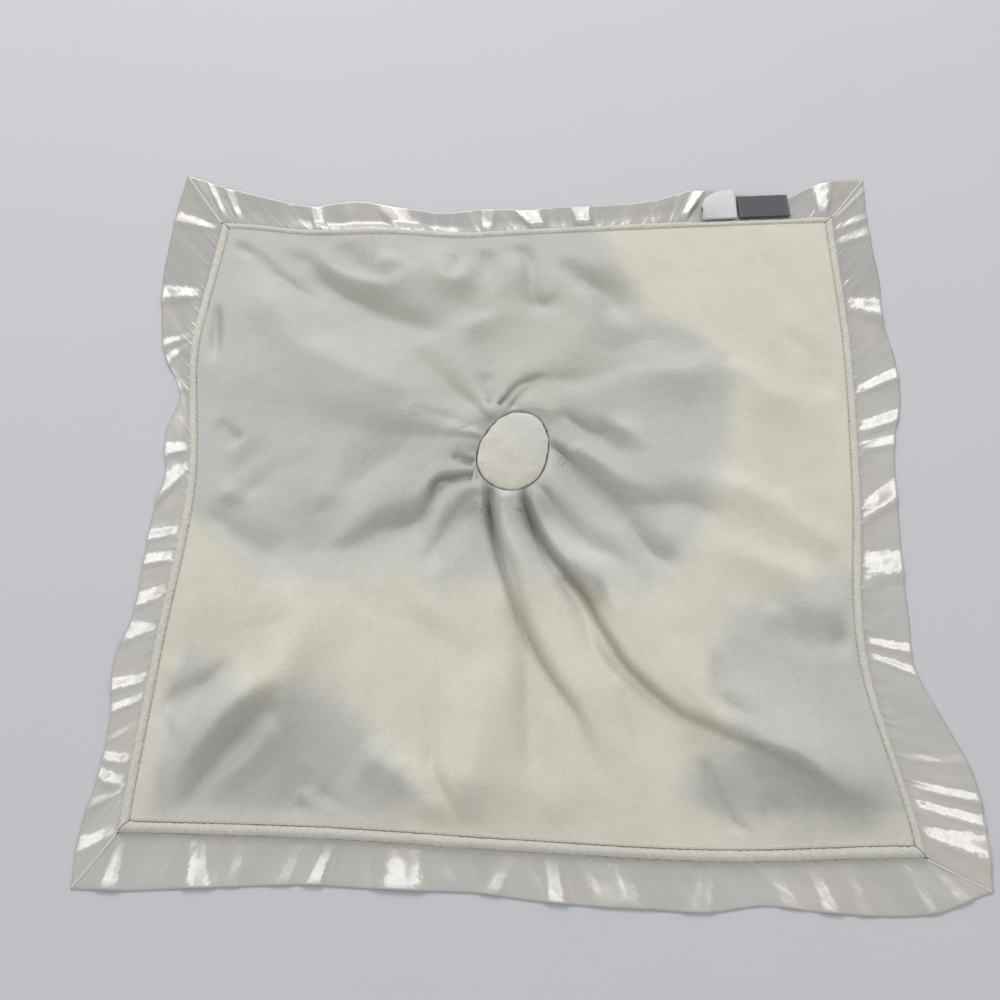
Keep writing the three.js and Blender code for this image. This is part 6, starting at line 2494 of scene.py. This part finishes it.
@dataclass
class SewnLabel:
    """A bare ribbon label: a loop with both ends in the far seam, which can be turned over."""

    plan: SeamPlan
    name: str
    node: str
    body: Body
    ribbon: Slot
    distance: float
    width: float
    length: float
    ply: float
    loop: float
    flat: tuple[float, float]
    short_side: float = 0.0
    curl: float = 0.0
    standoff: float = 0.9
    satin: float = 0.8
    ripple: float = 0.12
    grid: tuple[int, int] = (150, 49)

    def loop_path(self, share: Array, across: Array) -> tuple[Array, Array]:
        """The ribbon's middle line: out along the lower ply, round the fold and back.

        The fold lies at the label's length less the loop's radius. On a label with a short
        side it comes nearer there, along a quarter of an ellipse.

        Args:
            share: places along the ribbon, 0 and 1 in the seam.
            across: places across it, -1 to 1.

        Returns:
            How far out and how high each point is.
        """
        half = self.ply / 2.0 + self.plan.clearance / 2.0
        drawn = 1.0 - np.sqrt(1.0 - ((1.0 - across) / 2.0) ** 2 * 0.999)
        fold = self.length - self.loop - self.ply / 2.0 - self.short_side * drawn
        arc = math.pi * self.loop
        run = share * (2.0 * fold + arc)
        turn = np.clip((run - fold) / self.loop, 0.0, math.pi)
        back = np.clip(run - fold - arc, 0.0, None)
        out = np.where(run < fold, run, fold + self.loop * np.sin(turn) - back)
        sunk = np.clip(back / fold, 0.0, 1.0) ** 2
        height = -half + self.loop * (1.0 - np.cos(turn)) - (2.0 * self.loop - 2.0 * half) * sunk
        return out, height

    def skin(self) -> Skin:
        """The ribbon with its thickness, along the normal of its middle line.

        Returns:
            The ribbon's skin.
        """
        run, wide = np.linspace(0.0, 1.0, self.grid[0]), np.linspace(-1.0, 1.0, self.grid[1])
        share, across = np.meshgrid(run, wide, indexing="ij")
        out, height = self.loop_path(share, across)
        rise = self.curl * (out / self.length) ** 2 * (0.4 - 0.6 * across)
        place = np.stack([across * self.width / 2.0, out], axis=-1)
        wave = self.ripple * lattice_noise(place, 5.0, 151)
        height = height + (rise + wave) * smoothstep(0.0, 3.0, out)
        ahead_out, ahead_up = np.gradient(out, axis=0), np.gradient(height, axis=0)
        size = np.hypot(ahead_out, ahead_up)
        normal = np.stack([0.0 * out, -ahead_up / size, ahead_out / size], axis=-1)
        middle = np.stack([across * self.width / 2.0, out, height], axis=-1)
        rim = round_edge((1.0 - np.abs(across)) * self.width / 2.0, 0.25)
        half = (self.ply / 2.0 * (0.4 + 0.6 * rim))[..., None]
        run = share * 2.0 * self.length
        weave = np.stack([across * self.width / 2.0, run, 0.0 * run], axis=-1) * MM
        upper, lower = self.to_place(middle + normal * half), self.to_place(middle - normal * half)
        return Skin.slab(upper, lower, False, {"weave": (weave, weave)})

    def to_place(self, local: Array) -> Array:
        """Turns points made with X along the far seam and Y out of it into their place.

        Args:
            local: the points, with Z up from where the two plies meet.

        Returns:
            The points in the row's frame.
        """
        share = np.array([self.distance / self.plan.panel_side])
        side, step = Side.FAR, 0.01
        root = self.plan.seam(side, share, self.plan.welt_radius + self.standoff)[0]
        ahead, behind = (self.plan.seam(side, share + x, 0.0)[0] for x in (-step, step))
        along = (ahead - behind) / np.linalg.norm(ahead - behind)
        height = float(self.plan.height(side, share)[0]) + self.satin / 2.0 + self.plan.clearance
        height += self.ply + self.plan.clearance / 2.0
        x, y, z = local[..., 0], local[..., 1], local[..., 2]
        right = x * along[0] - y * along[1] + root[0]
        back = x * along[1] + y * along[0] + root[1]
        return np.stack([right, back, z + height], axis=-1)

    def build(self, material: bpy.types.Material) -> None:
        """Makes the label.

        Args:
            material: the ribbon's finish.
        """
        made = Piece(self.name, self.ribbon, (self.node,), self.body).place(self.skin(), material)


# ---------------------------------------------------------------- the stage


@dataclass
class Stage:
    """The floor, the soft light from a window side and the camera."""

    lens: float = 39.19
    azimuth: float = -0.48
    elevation: float = 64.24
    roll: float = 0.71
    distance: float = 498.0
    target: tuple[float, float, float] = (-13.12, -5.99, 0.0)
    floor_size: float = 8.0
    window_power: float = 13.0
    window_size: tuple[float, float] = (0.85, 0.6)
    window_place: tuple[float, float, float] = (-0.22, 1.3, 1.06)
    room: Colour = (240.0, 240.0, 241.0)
    room_strength: float = 0.82

    def floor(self) -> None:
        """Lays the floor: one plain square, several metres wide."""
        half = self.floor_size / 2.0
        made = bpy.data.meshes.new("floor")
        corners = [(-half, -half, 0.0), (half, -half, 0.0), (half, half, 0.0), (-half, half, 0.0)]
        made.from_pydata(corners, [], [(0, 1, 2, 3)])
        floor = bpy.data.objects.new("floor", made)
        bpy.context.scene.collection.objects.link(floor)
        made.materials.append(FloorFinish().build())

    def camera(self) -> None:
        """Places the camera at its distance from the target, and rolls it about its own axis."""
        a, e, r = (math.radians(x) for x in (self.azimuth, self.elevation, self.roll))
        back = Vector((math.sin(a) * math.cos(e), -math.cos(a) * math.cos(e), math.sin(e)))
        right = Vector((math.cos(a), math.sin(a), 0.0))
        up = back.cross(right)
        x_axis = math.cos(r) * right + math.sin(r) * up
        y_axis = math.cos(r) * up - math.sin(r) * right
        data = bpy.data.cameras.new("camera")
        data.sensor_width, data.lens = 36.0, self.lens
        data.clip_start, data.clip_end = 0.01, 50.0
        camera = bpy.data.objects.new("camera", data)
        place = Vector(self.target) * MM + back * self.distance * MM
        turn = Matrix((x_axis, y_axis, back)).transposed().to_4x4()
        camera.matrix_world = Matrix.Translation(place) @ turn
        bpy.context.scene.collection.objects.link(camera)
        bpy.context.scene.camera = camera

    def lights(self) -> None:
        """Hangs one large soft light on the far side and fills the room evenly."""
        data = bpy.data.lights.new("window", "AREA")
        data.shape, (data.size, data.size_y) = "RECTANGLE", self.window_size
        data.energy = self.window_power
        window = bpy.data.objects.new("window", data)
        window.location = self.window_place
        window.rotation_euler = Vector(self.window_place).to_track_quat("Z", "Y").to_euler()
        bpy.context.scene.collection.objects.link(window)
        world = bpy.data.worlds.new("room")
        bpy.context.scene.world = world
        world.use_nodes = True
        background = world.node_tree.nodes["Background"]
        background.inputs["Color"].default_value = linear(self.room)
        background.inputs["Strength"].default_value = self.room_strength

    def build(self) -> None:
        """Sets the floor, the lights, the camera and the plain view."""
        self.floor()
        self.lights()
        self.camera()
        bpy.context.scene.view_settings.view_transform = "Standard"


def main() -> None:
    """Builds the stage and then the lovey in order."""
    logging.basicConfig(level=logging.INFO, format="%(name)s %(message)s", stream=sys.stdout)
    Stage().build()
    finishes = Finishes()
    plan = SeamPlan()
    ring = NeckRing(plan)
    head = HeadForm(ring)
    DrapedCloth(plan, ring, head).build(finishes)
    CordedSeam(plan).build(finishes)
    SatinRuffle(plan).build(finishes)
    NeckPatch(ring).build(finishes)
    NeckBand(ring, head).build(finishes)
    PlushHead(head).build(finishes)
    Face(head).build(finishes)
    Ear(head, -1.0, Body.EAR_LEFT).build(finishes)
    Ear(head, 1.0, Body.EAR_RIGHT).build(finishes)
    SewnLabel(
        plan, "woven_label_ribbon", "woven_label", Body.WOVEN_LABEL, Slot.CHARCOAL_RIBBON,
        distance=35.25, width=26.5, length=14.0, ply=0.45, loop=0.375, flat=(26.5, 28.0),
    ).build(finishes.woven)
    SewnLabel(
        plan, "care_label_ribbon", "care_label", Body.CARE_LABEL, Slot.WHITE_RIBBON,
        distance=58.5, width=18.0, length=17.0, ply=0.4, loop=1.8, flat=(18.0, 34.0),
        short_side=11.0, curl=1.0,
    ).build(finishes.care)


if __name__ == "__main__":
    main()
